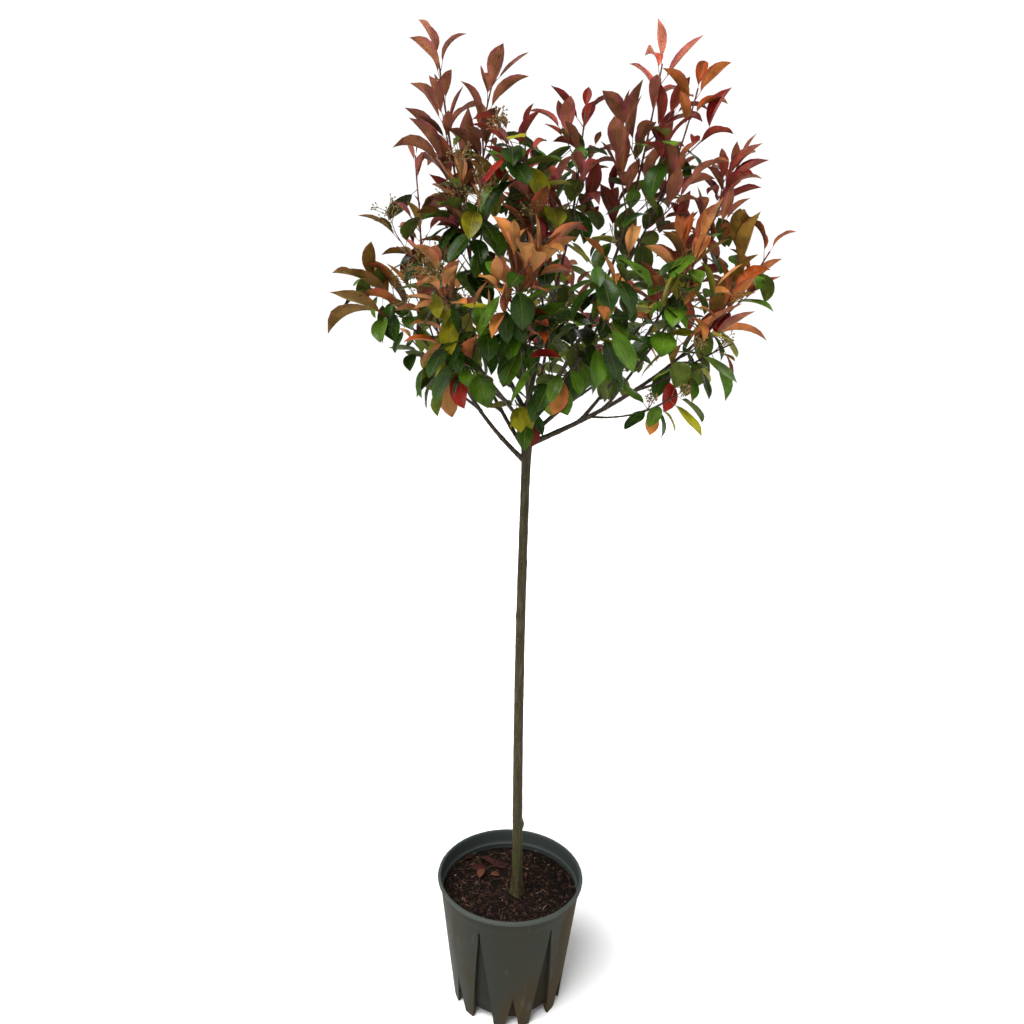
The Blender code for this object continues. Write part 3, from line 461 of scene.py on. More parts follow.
def made_real(tree, geometry, finish):
    """Realize Instances and Set Material, the last steps of every tree."""
    real = add(tree, 'GeometryNodeRealizeInstances', links=(("Geometry", geometry),))
    return add(tree, 'GeometryNodeSetMaterial', links=(
        ("Geometry", real.outputs[0]), ("Material", finish))).outputs[0]


def made_by(tree, name, base, inputs):
    """Run a tree on a base mesh and keep its result as a plain mesh."""
    piece = bpy.data.objects.new(name, base)
    bpy.context.scene.collection.objects.link(piece)
    making = piece.modifiers.new("make", 'NODES')
    making.node_group = tree
    for socket in tree.interface.items_tree:
        if socket.in_out == 'INPUT' and socket.name in inputs:
            making[socket.identifier] = inputs[socket.name]
    graph = bpy.context.evaluated_depsgraph_get()
    graph.update()
    plain = bpy.data.meshes.new_from_object(piece.evaluated_get(graph), depsgraph=graph)
    piece.modifiers.clear()
    piece.data = plain
    plain.name = name
    return piece


def scatter_tree():
    """Lays copies of one bit over a surface, each turned and sized at random."""
    tree, given, end = new_tree("Scatter bits", (
        ("Bit", 'Object'), ("Per square metre", 'Float'), ("Seed", 'Int'), ("Smallest", 'Float'),
        ("Largest", 'Float'), ("Tilt", 'Float'), ("Finish", 'Material')))
    seed, tilt = given["Seed"], given["Tilt"]
    spread = add(tree, 'GeometryNodeDistributePointsOnFaces', links=(
        ("Mesh", given["Geometry"]), ("Density", given["Per square metre"]), ("Seed", seed)))
    shape = add(tree, 'GeometryNodeObjectInfo', links=(("Object", given["Bit"]),))
    back = calc(tree, 'MULTIPLY', tilt, -1.0)
    low, high = (add(tree, 'ShaderNodeCombineXYZ', links=enumerate(turns)).outputs[0]
                 for turns in ((back, back, 0.0), (tilt, tilt, 2.0 * math.pi)))
    turn = add(tree, 'FunctionNodeRandomValue', data_type='FLOAT_VECTOR', links=(
        (0, low), (1, high), ("Seed", seed)))
    size = add(tree, 'FunctionNodeRandomValue', data_type='FLOAT', links=(
        (2, given["Smallest"]), (3, given["Largest"]), ("Seed", seed)))
    laid = add(tree, 'GeometryNodeInstanceOnPoints', links=(
        ("Points", spread.outputs["Points"]), ("Instance", shape.outputs["Geometry"]),
        ("Rotation", turn.outputs[0]), ("Scale", size.outputs[1])))
    tree.links.new(made_real(tree, laid.outputs[0], given["Finish"]), end.inputs[0])
    return tree


def bit_shape(bit):
    """A thin closed flake, one unit long."""
    low = [(x, y, z - FLAKE_THICK) for x, y, z in bit.corners]
    faces = [(0, 1, 2, 3), (7, 6, 5, 4), (0, 4, 5, 1), (1, 5, 6, 2), (2, 6, 7, 3), (3, 7, 4, 0)]
    mesh = bpy.data.meshes.new(bit.name + "_shape")
    mesh.from_pydata([*bit.corners, *low], [], faces)
    return bpy.data.objects.new(bit.name + "_shape", mesh)


def bit_finish(bit):
    finish, tree, place = new_finish(bit.name)
    dark = tuple(DARK_SIDE * value for value in bit.colour)
    speckle = ranged(tree, grain(tree, place, *BIT_GRAIN), 0.36, 0.66)
    coat(tree, mixed(tree, speckle, dark, bit.colour), BIT_ROUGHNESS, BIT_GLOSS)
    relief(tree, grain(tree, place, *FIBRE_GRAIN), FIBRE_DEPTH, 0.8)
    return finish


def crust_surface(crust):
    """A copy of the crust's upper faces, for things to lie on."""
    faces = [tuple(p.vertices) for p in crust.data.polygons if p.normal.z > CRUST_FACING
             and math.hypot(p.center.x, p.center.y) < CRUST_REACH]
    surface = bpy.data.meshes.new("crust_surface")
    surface.from_pydata([tuple(v.co) for v in crust.data.vertices], [], faces)
    return surface


scatter_bits = scatter_tree()
surface = crust_surface(compost)
for bit in BITS:
    shape = bit_shape(bit)
    bits = made_by(scatter_bits, bit.name, surface.copy(), {
        "Bit": shape, "Per square metre": bit.per_m2, "Seed": bit.seed, "Smallest": bit.smallest,
        "Largest": bit.largest, "Tilt": bit.tilt, "Finish": bit_finish(bit)})
    bpy.data.objects.remove(shape)
    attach(bits, "root")


# ---- stem -------------------------------------------------------------------
# One clear stem, trained up from a single shoot and rubbed clean of its buds.
# Its young bark is thin and olive brown, cracked lengthwise, and carries the
# scars of the side shoots that were cut away.

HEAD_X = 0.006
TRUNK_TOP = 1.318
TRUNK_BOW = (0.006, 0.003)
TRUNK_RADIUS_FOOT = 0.0112
TRUNK_RADIUS_HEAD = 0.0088
FLARE_RADIUS = 0.0055
FLARE_HEIGHT = 0.022
FLARE_LOBE = 0.0025
FLARE_LOBES = 4.0
HEAD_SWELL = 0.0030
HEAD_HEIGHT = 1.245
HEAD_LENGTH = 0.045
STEM_FACETS = 44
STEM_ROW = 0.0045
STEM_SUNK = 0.003           # the stem starts this far below the crust
CUT_ROUND = 0.016           # its cut top is rounded over this length
CUT_FLAT = 0.16             # and stays flat in the middle
BARK_CRACK = 0.00084        # depth of the lengthwise cracks
BARK_ROUGH = 0.00018
BARK_LUMP = 0.00045
BARK_GRAINS = ((3.2, 26.0), (9.0, 85.0), (1.3, 34.0))   # how fine, round and along
Scar = namedtuple("Scar", "height azimuth size length")
SCARS = (Scar(0.402, 0.0, 0.0045, 0.009), Scar(0.318, 205.0, 0.0016, 0.006),
         Scar(0.520, 250.0, 0.0014, 0.006), Scar(0.655, 95.0, 0.0018, 0.007),
         Scar(0.742, 310.0, 0.0015, 0.006), Scar(0.873, 180.0, 0.0014, 0.006),
         Scar(0.985, 20.0, 0.0017, 0.006), Scar(1.092, 260.0, 0.0015, 0.006),
         Scar(1.163, 130.0, 0.0016, 0.006))
SCAR_REACH = 3.0            # a scar fades out over this many of its lengths
SCAR_NARROW = 7

BARK_OLIVE = (0.036, 0.029, 0.008)
BARK_GREY = (0.054, 0.044, 0.021)
BARK_DARK = (0.014, 0.010, 0.005)
BARK_ALGAE = (0.032, 0.037, 0.006)
BARK_PORE = (0.16, 0.125, 0.075)
ALGAE_HEIGHTS = (0.50, 0.24)    # none above the first, most below the second
MOST_ALGAE = 0.75
ALGAE_GRAIN = (38.0, 3.0)
STREAK_STRETCH, STREAK_GRAIN = (1.0, 1.0, 0.10), (260.0, 4.0, 0.6)
MOST_STREAK = 0.75          # of the dark colour, between the streaks
STREAK_DEPTH = 0.0003
BARK_PATCH_GRAIN = (21.0, 3.0)
PORE_STRETCH, PORE_GRAIN = (0.55, 0.55, 1.6), (330.0, 1.0)
MOST_PORE = 0.5
BARK_ROUGHNESS = 0.72
BARK_GLOSS = 0.2


def trunk_axis(z):
    t = (z - SOIL_TOP) / (TRUNK_TOP - SOIL_TOP)
    x = STEM_FOOT[0] + (HEAD_X - STEM_FOOT[0]) * t - TRUNK_BOW[0] * math.sin(math.pi * t)
    y = STEM_FOOT[1] * (1.0 - t) + TRUNK_BOW[1] * math.sin(2.0 * math.pi * t)
    return np.array((x, y, z))


def trunk_radius(z):
    t = (z - SOIL_TOP) / (TRUNK_TOP - SOIL_TOP)
    radius = TRUNK_RADIUS_FOOT + (TRUNK_RADIUS_HEAD - TRUNK_RADIUS_FOOT) * t
    radius += FLARE_RADIUS * math.exp(-(z - SOIL_TOP) / FLARE_HEIGHT)
    return radius + HEAD_SWELL * math.exp(-((z - HEAD_HEIGHT) / HEAD_LENGTH) ** 2)


def bark_height(turn, z):
    """Relief of the bark: lengthwise cracks, roughness and small lumps."""
    cracks, rough, lumps = (
        noise.noise(Vector((math.cos(turn) * wide, math.sin(turn) * wide, z * long)))
        for wide, long in BARK_GRAINS)
    return BARK_ROUGH * rough - BARK_CRACK * abs(cracks) + BARK_LUMP * lumps


def scar_height(turn, z):
    """How far the scars of cut shoots stand out."""
    height = 0.0
    for scar in SCARS:
        beside = math.cos(turn - math.radians(scar.azimuth))
        if beside > 0.0 and abs(z - scar.height) < SCAR_REACH * scar.length:
            rise = math.exp(-((z - scar.height) / scar.length) ** 2) * beside ** SCAR_NARROW
            height += scar.size * rise
    return height


def build_stem(finish):
    rows = int((TRUNK_TOP - SOIL_TOP) / STEM_ROW)
    bottom = SOIL_TOP - STEM_SUNK
    rings = []
    for row in range(rows + 1):
        z = bottom + (TRUNK_TOP - bottom) * row / rows
        centre = trunk_axis(z)
        lobe = FLARE_LOBE * math.exp(-max(0.0, z - SOIL_TOP) / FLARE_HEIGHT)
        past = max(0.0, (z - TRUNK_TOP + CUT_ROUND) / CUT_ROUND)
        girth = trunk_radius(max(z, SOIL_TOP)) * math.sqrt(max(CUT_FLAT, 1.0 - past ** 2))
        ring = []
        for k in range(STEM_FACETS):
            turn = 2.0 * math.pi * k / STEM_FACETS
            radius = girth + lobe * math.cos(FLARE_LOBES * turn)
            radius += bark_height(turn, z) + scar_height(turn, z)
            ring.append((centre[0] + radius * math.cos(turn),
                         centre[1] + radius * math.sin(turn), z))
        rings.append(ring)
    top = trunk_axis(TRUNK_TOP) + np.array((0.0, 0.0, 0.001))
    verts, faces = rings_to_skin(rings, tuple(trunk_axis(bottom)), tuple(top))
    return solid_piece("clear_stem", verts, faces, finish)


def bark_finish(name, base, light, dark, algae=None):
    """Thin young bark: streaks along the limb, small pale breathing pores."""
    finish, tree, place = new_finish(name)
    along = grain(tree, stretched(tree, place, STREAK_STRETCH), *STREAK_GRAIN)
    streaks = ranged(tree, along, 0.38, 0.66)
    patches = ranged(tree, grain(tree, place, *BARK_PATCH_GRAIN), 0.40, 0.64)
    dots = grain(tree, stretched(tree, place, PORE_STRETCH), *PORE_GRAIN)
    colour = mixed(tree, patches, base, light)
    colour = mixed(tree, ranged(tree, streaks, 0.0, 1.0, MOST_STREAK, 0.0), colour, dark)
    if algae is not None:
        low = ranged(tree, axes(tree, place)["Z"], *ALGAE_HEIGHTS, 0.0, MOST_ALGAE)
        patchy = ranged(tree, grain(tree, place, *ALGAE_GRAIN), 0.35, 0.6)
        colour = mixed(tree, calc(tree, 'MULTIPLY', low, patchy), colour, algae)
    pores = up_to(tree, ranged(tree, dots, 0.66, 0.73), MOST_PORE)
    coat(tree, mixed(tree, pores, colour, BARK_PORE), BARK_ROUGHNESS, BARK_GLOSS)
    relief(tree, streaks, STREAK_DEPTH, 0.7)
    return finish


stem = build_stem(bark_finish("stem_bark", BARK_OLIVE, BARK_GREY, BARK_DARK, BARK_ALGAE))
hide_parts("trunk")
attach(stem, "root")


# ---- boughs -----------------------------------------------------------------
# The head was stopped at about 1.2 m, and every bud below the cut broke into a
# bough.  Each is one tapering limb, swollen where it leaves its parent and at
# the old leaf nodes along it.

LIMB_TIP_RADIUS = 0.0014
LIMB_TAPER = 0.7
CHILD_SHARE = 0.78
CURVE_PULL = 0.36
SWAY = 0.007
SWAY_TURNS = 7.0
LINE_POINTS = 41
BOUGH_STEP = 0.006
FEWEST_ROWS = 6
NODE_STEP = 0.034           # from one old leaf node to the next
NODE_SWELL = 0.16
NODE_NARROW = 12
COLLAR_SWELL = 0.55         # where a bough leaves its parent
COLLAR_LENGTH = 0.011

BOUGH_BROWN = (0.036, 0.026, 0.015)
BOUGH_GREY = (0.058, 0.047, 0.031)
BOUGH_DARK = (0.012, 0.008, 0.006)

# A limb is a bough and the stem of the mass at its end: it leaves its parent at
# a height of the stem, or a share of another bough's length.  "leave" and
# "arrive" are its slopes in degrees, "bare" the share that is bough, "spread"
# the length of its shoots, "young" the share of young leaves, "tip" the length
# of stem that its last leaves take, and "full" how leafy it is.
Limb = namedtuple("Limb", "name parent start azimuth reach height leave arrive "
                          "bare thick shoots spread young tip full")
LIMBS = (
    Limb("left", "trunk", 1.192, 186, 0.215, 1.63, 40, 84, 0.48, 0.0054, 4, 0.09, 0.5, 0.055, 0.9),
    Limb("left_wing", "left", 0.93, 184, 0.328, 1.542, 34, 36, 0.28, 0.003, 3, 0.06, 0.5, 0.05, 0.7),
    Limb("left_low", "left", 0.6, 170, 0.24, 1.425, 30, 40, 0.35, 0.0026, 2, 0.05, 0.1, 0.05, 0.4),
    Limb("left_spire", "left_wing", 0.6, 174, 0.23, 1.765, 62, 86, 0.42, 0.0026, 1, 0.045, 1.0, 0.06, 0.5),
    Limb("left_leader", "trunk", 1.284, 172, 0.19, 1.937, 58, 80, 0.46, 0.005, 5, 0.085, 1.0, 0.17, 0.9),
    Limb("leader_side", "left_leader", 0.9, 184, 0.085, 1.885, 74, 72, 0.44, 0.003, 2, 0.07, 1.0, 0.11, 0.6),
    Limb("middle_left", "left_leader", 0.55, 222, 0.175, 1.69, 50, 80, 0.36, 0.0042, 4, 0.085, 0.6, 0.055, 1.2),
    Limb("front_left", "trunk", 1.25, 236, 0.275, 1.52, 38, 60, 0.36, 0.0046, 4, 0.085, 0.5, 0.055, 1.1),
    Limb("front_left_low", "front_left", 0.75, 222, 0.205, 1.435, 24, 45, 0.35, 0.0028, 2, 0.06, 0.1, 0.05, 0.4),
    Limb("front", "trunk", 1.29, 262, 0.24, 1.56, 50, 82, 0.34, 0.0044, 4, 0.08, 0.7, 0.055, 1.3),
    Limb("front_right", "trunk", 1.268, 299, 0.3, 1.55, 42, 66, 0.36, 0.0046, 4, 0.085, 0.3, 0.055, 1.1),
    Limb("front_low", "front_right", 0.6, 286, 0.215, 1.39, 12, 30, 0.35, 0.0028, 3, 0.065, 0.0, 0.05, 0.4),
    Limb("middle_top", "trunk", 1.317, 25, 0.1, 1.86, 76, 86, 0.42, 0.005, 4, 0.085, 0.9, 0.07, 1.0),
    Limb("middle_front", "middle_top", 0.42, 262, 0.16, 1.755, 52, 84, 0.34, 0.0048, 4, 0.09, 0.5, 0.055, 1.2),
    Limb("right_leader", "trunk", 1.272, 2, 0.225, 1.93, 54, 82, 0.44, 0.0052, 5, 0.09, 1.0, 0.11, 1.0),
    Limb("right_outer", "right_leader", 0.6, 350, 0.285, 1.87, 55, 78, 0.36, 0.004, 4, 0.085, 0.9, 0.1, 0.9),
    Limb("right", "trunk", 1.226, 355, 0.438, 1.6, 24, 62, 0.46, 0.0062, 4, 0.085, 0.9, 0.06, 0.9),
    Limb("right_shoulder", "right", 0.42, 4, 0.385, 1.77, 50, 70, 0.4, 0.0048, 4, 0.085, 0.9, 0.07, 1.1),
    Limb("right_front", "right", 0.62, 332, 0.325, 1.6, 45, 70, 0.36, 0.004, 4, 0.08, 0.6, 0.055, 1.1),
    Limb("right_low", "right", 0.88, 342, 0.378, 1.428, 12, 20, 0.25, 0.003, 2, 0.065, 0.1, 0.05, 0.45),
    Limb("right_twig", "right", 0.5, 330, 0.3, 1.335, -2, 30, 0.6, 0.0024, 1, 0.045, 0.1, 0.05, 0.3),
    Limb("back_right", "trunk", 1.24, 36, 0.39, 1.61, 36, 66, 0.38, 0.0052, 4, 0.09, 0.5, 0.06, 1.2),
    Limb("back_right_low", "back_right", 0.65, 42, 0.355, 1.455, 15, 30, 0.35, 0.0032, 3, 0.07, 0.1, 0.05, 0.4),
    Limb("back", "trunk", 1.278, 78, 0.35, 1.63, 42, 70, 0.38, 0.005, 4, 0.09, 0.5, 0.06, 1.3),
    Limb("back_low", "back", 0.6, 90, 0.3, 1.45, 15, 30, 0.35, 0.0032, 3, 0.07, 0.1, 0.05, 0.4),
    Limb("back_left", "trunk", 1.215, 128, 0.335, 1.61, 38, 68, 0.38, 0.0052, 4, 0.09, 0.5, 0.06, 1.2),
    Limb("back_left_low", "back_left", 0.6, 138, 0.265, 1.45, 15, 30, 0.35, 0.0032, 3, 0.07, 0.1, 0.05, 0.4),
    Limb("back_top", "middle_top", 0.62, 95, 0.235, 1.8, 50, 78, 0.34, 0.0048, 4, 0.09, 0.8, 0.07, 1.2),
    Limb("fork", "trunk", 1.275, 248, 0.07, 1.315, 22, 12, 0.0, 0.0026, 2, 0.04, 0.0, 0.05, 0.5),
)


def unit(v):
    return v / np.linalg.norm(v)


def slope_direction(out, slope):
    angle = math.radians(slope)
    return np.array((out[0] * math.cos(angle), out[1] * math.cos(angle), math.sin(angle)))


def curve_between(first, first_direction, last, last_direction, count):
    """Points on one cubic curve with the given directions at its ends."""
    pull = CURVE_PULL * np.linalg.norm(last - first)
    a = first + first_direction * pull
    b = last - last_direction * pull
    points = []
    for k in range(count):
        t = k / (count - 1)
        u = 1.0 - t
        points.append(u**3 * first + 3 * u * u * t * a + 3 * u * t * t * b + t**3 * last)
    return np.array(points)


def point_along(points, share):
    """Position and direction at a share of a line's length."""
    steps = np.linalg.norm(np.diff(points, axis=0), axis=1)
    reach = np.concatenate(([0.0], np.cumsum(steps)))
    wanted = share * reach[-1]
    k = min(int(np.searchsorted(reach, wanted, side="right")) - 1, len(steps) - 1)
    k = max(k, 0)
    t = (wanted - reach[k]) / steps[k]
    return points[k] + (points[k + 1] - points[k]) * t, unit(points[k + 1] - points[k])


def part_of(points, first, last, count):
    """Evenly spaced points of a line between two shares of its length."""
    return np.array([point_along(points, first + (last - first) * k / (count - 1))[0]
                     for k in range(count)])


def line_length(points):
    return np.linalg.norm(np.diff(points, axis=0), axis=1).sum()


def limb_named(name):
    return next(limb for limb in LIMBS if limb.name == name)


def limb_lines():
    """The whole centre line of every limb, bough and stem together."""
    lines = {}
    for limb in LIMBS:
        if limb.parent == "trunk":
            first = trunk_axis(limb.start)
        else:
            first = point_along(lines[limb.parent], limb.start * limb_named(limb.parent).bare)[0]
        turn = math.radians(limb.azimuth)
        last = np.array((HEAD_X + limb.reach * math.cos(turn), limb.reach * math.sin(turn),
                         limb.height))
        away = last - first
        out = unit(np.array((away[0], away[1], 0.0)))
        line = curve_between(first, slope_direction(out, limb.leave),
                             last, slope_direction(out, limb.arrive), LINE_POINTS)
        phase = random.Random("sway " + limb.name).uniform(0.0, 2.0 * math.pi)
        side = np.array((-out[1], out[0], 0.0))
        for k, point in enumerate(line):
            t = k / (LINE_POINTS - 1)
            point += side * SWAY * math.sin(phase + SWAY_TURNS * t) * 4.0 * t * (1.0 - t)
        lines[limb.name] = line
    return lines


def limb_radius(limb, share):
    """Radius at a share of the limb's whole length, thinner than its parent."""
    first = limb.thick
    if limb.parent != "trunk":
        parent = limb_named(limb.parent)
        first = min(first, CHILD_SHARE * limb_radius(parent, limb.start * parent.bare))
    return first + (LIMB_TIP_RADIUS - first) * share ** LIMB_TAPER


def stored(tree, name, kind='FLOAT'):
    """A value that each point of the geometry carries."""
    return add(tree, 'GeometryNodeInputNamedAttribute', data_type=kind,
               links=(("Name", name),)).outputs["Attribute"]


def wood_tree():
    """Turns lines with a thickness at each point into tubes with bark relief."""
    tree, given, end = new_tree("Wood", (
        ("Sides", 'Int'), ("Relief depth", 'Float'), ("Relief grain", 'Float'),
        ("Finish", 'Material')))
    line = add(tree, 'GeometryNodeMeshToCurve', links=(("Mesh", given["Geometry"]),))
    hoop = add(tree, 'GeometryNodeCurvePrimitiveCircle', links=(
        ("Resolution", given["Sides"]), ("Radius", 1.0)))
    tube = add(tree, 'GeometryNodeCurveToMesh', links=(
        ("Curve", line.outputs[0]), ("Profile Curve", hoop.outputs[0]),
        ("Scale", stored(tree, "thickness")), ("Fill Caps", True)))
    place = add(tree, 'GeometryNodeInputPosition').outputs[0]
    lumps = calc(tree, 'SUBTRACT', grain(tree, place, given["Relief grain"], 2.0), 0.5)
    push = add(tree, 'ShaderNodeVectorMath', operation='SCALE', links=(
        (0, add(tree, 'GeometryNodeInputNormal').outputs[0]),
        ("Scale", calc(tree, 'MULTIPLY', lumps, given["Relief depth"]))))
    bark = add(tree, 'GeometryNodeSetPosition', links=(
        ("Geometry", tube.outputs[0]), ("Offset", push.outputs[0])))
    smooth = add(tree, 'GeometryNodeSetShadeSmooth', links=(("Geometry", bark.outputs[0]),))
    tree.links.new(made_real(tree, smooth.outputs[0], given["Finish"]), end.inputs[0])
    return tree


def line_mesh(name, lines):
    """One mesh of open lines, each a pair of its points and their thicknesses."""
    verts, edges, thickness = [], [], []
    for points, radii in lines:
        first = len(verts)
        verts += [tuple(p) for p in points]
        edges += [(k, k + 1) for k in range(first, len(verts) - 1)]
        thickness += [float(r) for r in radii]
    mesh = bpy.data.meshes.new(name)
    mesh.from_pydata(verts, edges, [])
    point_values(mesh, "thickness", thickness)
    return mesh


def bough_lines(lines):
    boughs = []
    for limb in LIMBS:
        if limb.bare == 0.0:
            continue
        length = line_length(lines[limb.name]) * limb.bare
        count = max(FEWEST_ROWS, int(length / BOUGH_STEP))
        points = part_of(lines[limb.name], 0.0, limb.bare, count)
        radii = []
        for k in range(count):
            along = length * k / (count - 1)
            node = max(0.0, math.cos(2.0 * math.pi * along / NODE_STEP)) ** NODE_NARROW
            swell = 1.0 + NODE_SWELL * node + COLLAR_SWELL * math.exp(-along / COLLAR_LENGTH)
            radii.append(limb_radius(limb, limb.bare * k / (count - 1)) * swell)
        boughs.append((points, radii))
    return boughs


lines = limb_lines()
grow_wood = wood_tree()
boughs = made_by(grow_wood, "boughs", line_mesh("bough_lines", bough_lines(lines)), {
    "Sides": 14, "Relief depth": 0.0011, "Relief grain": 190.0,
    "Finish": bark_finish("bough_bark", BOUGH_BROWN, BOUGH_GREY, BOUGH_DARK)})
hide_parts(*["bough_" + limb.name for limb in LIMBS if limb.bare > 0.0])
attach(boughs, "root")


# ---- twigs and shoots -------------------------------------------------------
# A bough runs on as the stem of its own spray, with shoots set round it by the
# golden angle, and finer twigs between them.  Last year's wood is brown; this
# year's shoots are thin and red until they ripen.

GOLDEN_ANGLE = 137.508
STEM_STEP = 0.012
FEWEST_STEM_POINTS = 8
UPRIGHT = 0.9               # a steeper axis has no upper side
SHOOT_SHARE = 0.66          # of the stem's thickness
SHOOT_TIP_RADIUS = 0.0009
SHOOT_ANGLE = 48.0
SHOOT_RISE = 0.55
SHOOT_BOW = 0.07            # how far a shoot bows below its straight line
BOW_POINTS = 7
SHOOT_PLACES = (0.14, 0.84)
FIRST_PLACE = 0.4           # of the step from one shoot to the next
SHOOT_REACH = (1.12, 0.4)   # shoots are shorter towards the stem's tip
SHOOT_LENGTHS = (0.85, 1.15)
SHOOT_YOUTH = (0.7, 1.2)
SHOOT_SHIFTS = (0.0, 40.0, -40.0, 85.0, -85.0, 130.0, 180.0)
SPACE_MARGIN = 0.005
TWIG_MARGIN = 0.004
STEM_SAMPLES = 33
BOUGH_SAMPLES = 65
HEAD_DEPTH = 0.35
FINE_TWIGS = 5              # finer twigs on each stem
FINE_TWIGS_FORK = 2
FINE_REACH = 0.62           # of the shoots' length
FINE_LENGTHS = (0.7, 1.2)
FINE_PLACES = (0.10, 0.92)
FINE_STRAY = (0.2, 0.8)     # of the step from one fine twig to the next
FINE_TURN = 60.0
FINE_RADIUS = 0.0011
FINE_TIP_RADIUS = 0.7 * FINE_RADIUS
FINE_YOUTH = 0.6
TWIG_STEP = 0.006
FEWEST_TWIG_POINTS = 5
TWIG_NODE_STEP = 0.021      # from one leaf node of a twig to the next
TWIG_NODE_SWELL = 0.18
TWIG_NODE_NARROW = 8
RIPE_BELOW = 0.35           # share of young leaves below which a twig is all brown
RED_SHARE = 0.55

# How many leaves a fully leafy limb has: on the last stretch of its stem, with so
# many more for each metre of it, and then on a shoot, the stem and a fine twig.
TIP_LEAVES = 3.3
TIP_LEAVES_PER_METRE = 35.0
TIP_FULL = 0.4              # added to how leafy the limb is
SHOOT_LEAVES = 6
STEM_LEAVES = 5
FINE_LEAVES = 4
SHOOT_TUFT = (0.30, 0.98)   # the shares of a twig's length that carry leaves
FINE_TUFT = (0.45, 0.98)
STEM_TUFT = (0.16, 0.55)
STEM_TUFT_END = 0.9
STEM_TUFT_YOUTH = 0.2
STEM_END = 0.985

TWIG_BROWN = (0.045, 0.026, 0.018)
TWIG_GREY = (0.070, 0.047, 0.032)
TWIG_DARK = (0.014, 0.007, 0.006)
SHOOT_RED = (0.140, 0.024, 0.018)
SHOOT_OCHRE = (0.140, 0.062, 0.024)
SHOOT_DARK = (0.040, 0.008, 0.008)

# A twig is its points and its first and last radius.  A tuft is the stretch of
# a twig that carries leaves, from the oldest to the youngest.
Twig = namedtuple("Twig", "points first_radius last_radius young")
Tuft = namedtuple("Tuft", "points count first last young turn")


class Room:
    """Where a spray may grow: near its own stem, and clear of limbs and leaves."""

    def __init__(self, lines):
        stems, owners, limb_points, limb_radii = [], [], [], []
        for number, limb in enumerate(LIMBS):
            stem = part_of(lines[limb.name], limb.bare, 1.0, STEM_SAMPLES)
            stems.extend(stem)
            owners.extend([number] * len(stem))
            if limb.bare > 0.0:
                limb_points.extend(part_of(lines[limb.name], 0.0, limb.bare, BOUGH_SAMPLES))
                limb_radii.extend(limb_radius(limb, share)
                                  for share in np.linspace(0.0, limb.bare, BOUGH_SAMPLES))
        for z in np.linspace(TRUNK_TOP - HEAD_DEPTH, TRUNK_TOP, BOUGH_SAMPLES):
            limb_points.append(trunk_axis(z))
            limb_radii.append(trunk_radius(z))
        self.stems = np.array(stems)
        self.owners = np.array(owners)
        self.limb_points = np.array(limb_points)
        self.limb_radii = np.array(limb_radii)
        self.blades = []
        self.middles = np.zeros((0, 3))

    def in_space(self, points, owner, margin):
        apart = np.linalg.norm(points[:, None, :] - self.stems[None, :, :], axis=2)
        own = apart[:, self.owners == owner].min(axis=1)
        other = apart[:, self.owners != owner].min(axis=1)
        return bool(np.all(own + margin < other))

    def off_limbs(self, points, margin):
        apart = np.linalg.norm(points[:, None, :] - self.limb_points[None, :, :], axis=2)
        return bool(np.all(apart - self.limb_radii > margin))


def side_direction(axis, turn):
    """The direction square to an axis at a turn round it, from its upper side."""
    up = (0.0, 0.0, 1.0) if abs(axis[2]) < UPRIGHT else (1.0, 0.0, 0.0)
    across = unit(np.array(up) - axis * np.dot(up, axis))
    angle = math.radians(turn)
    return across * math.cos(angle) + np.cross(axis, across) * math.sin(angle)


def lean_from(axis, angle, turn):
    """The direction at an angle to an axis, at a turn round it."""
    tilt = math.radians(angle)
    return axis * math.cos(tilt) + side_direction(axis, turn) * math.sin(tilt)


def shoot_line(stem, share, turn, length):
    """A shoot that leaves the stem at an angle and leans to upright."""
    root, axis = point_along(stem, share)
    leaving = lean_from(axis, SHOOT_ANGLE, turn)
    rising = unit(leaving * (1.0 - SHOOT_RISE) + np.array((0.0, 0.0, SHOOT_RISE)))
    return np.array((root, root + unit(leaving + rising) * length))


def bowed(ends):
    """The shoot's straight line with a natural bow towards the light."""
    first, last = ends
    dip = np.array((0.0, 0.0, -SHOOT_BOW * np.linalg.norm(last - first)))
    return np.array([first + (last - first) * t + dip * 4.0 * t * (1.0 - t)
                     for t in np.linspace(0.0, 1.0, BOW_POINTS)])


def free_shoot(stem, share, turn, length, number, margin):
    """A bowed shoot, turned to the first free side of the stem, if there is one."""
    for shift in SHOOT_SHIFTS:
        ends = shoot_line(stem, share, turn + shift, length)
        if room.in_space(ends[1:], number, margin) and room.off_limbs(ends, TWIG_MARGIN):
            return bowed(ends)
    return None


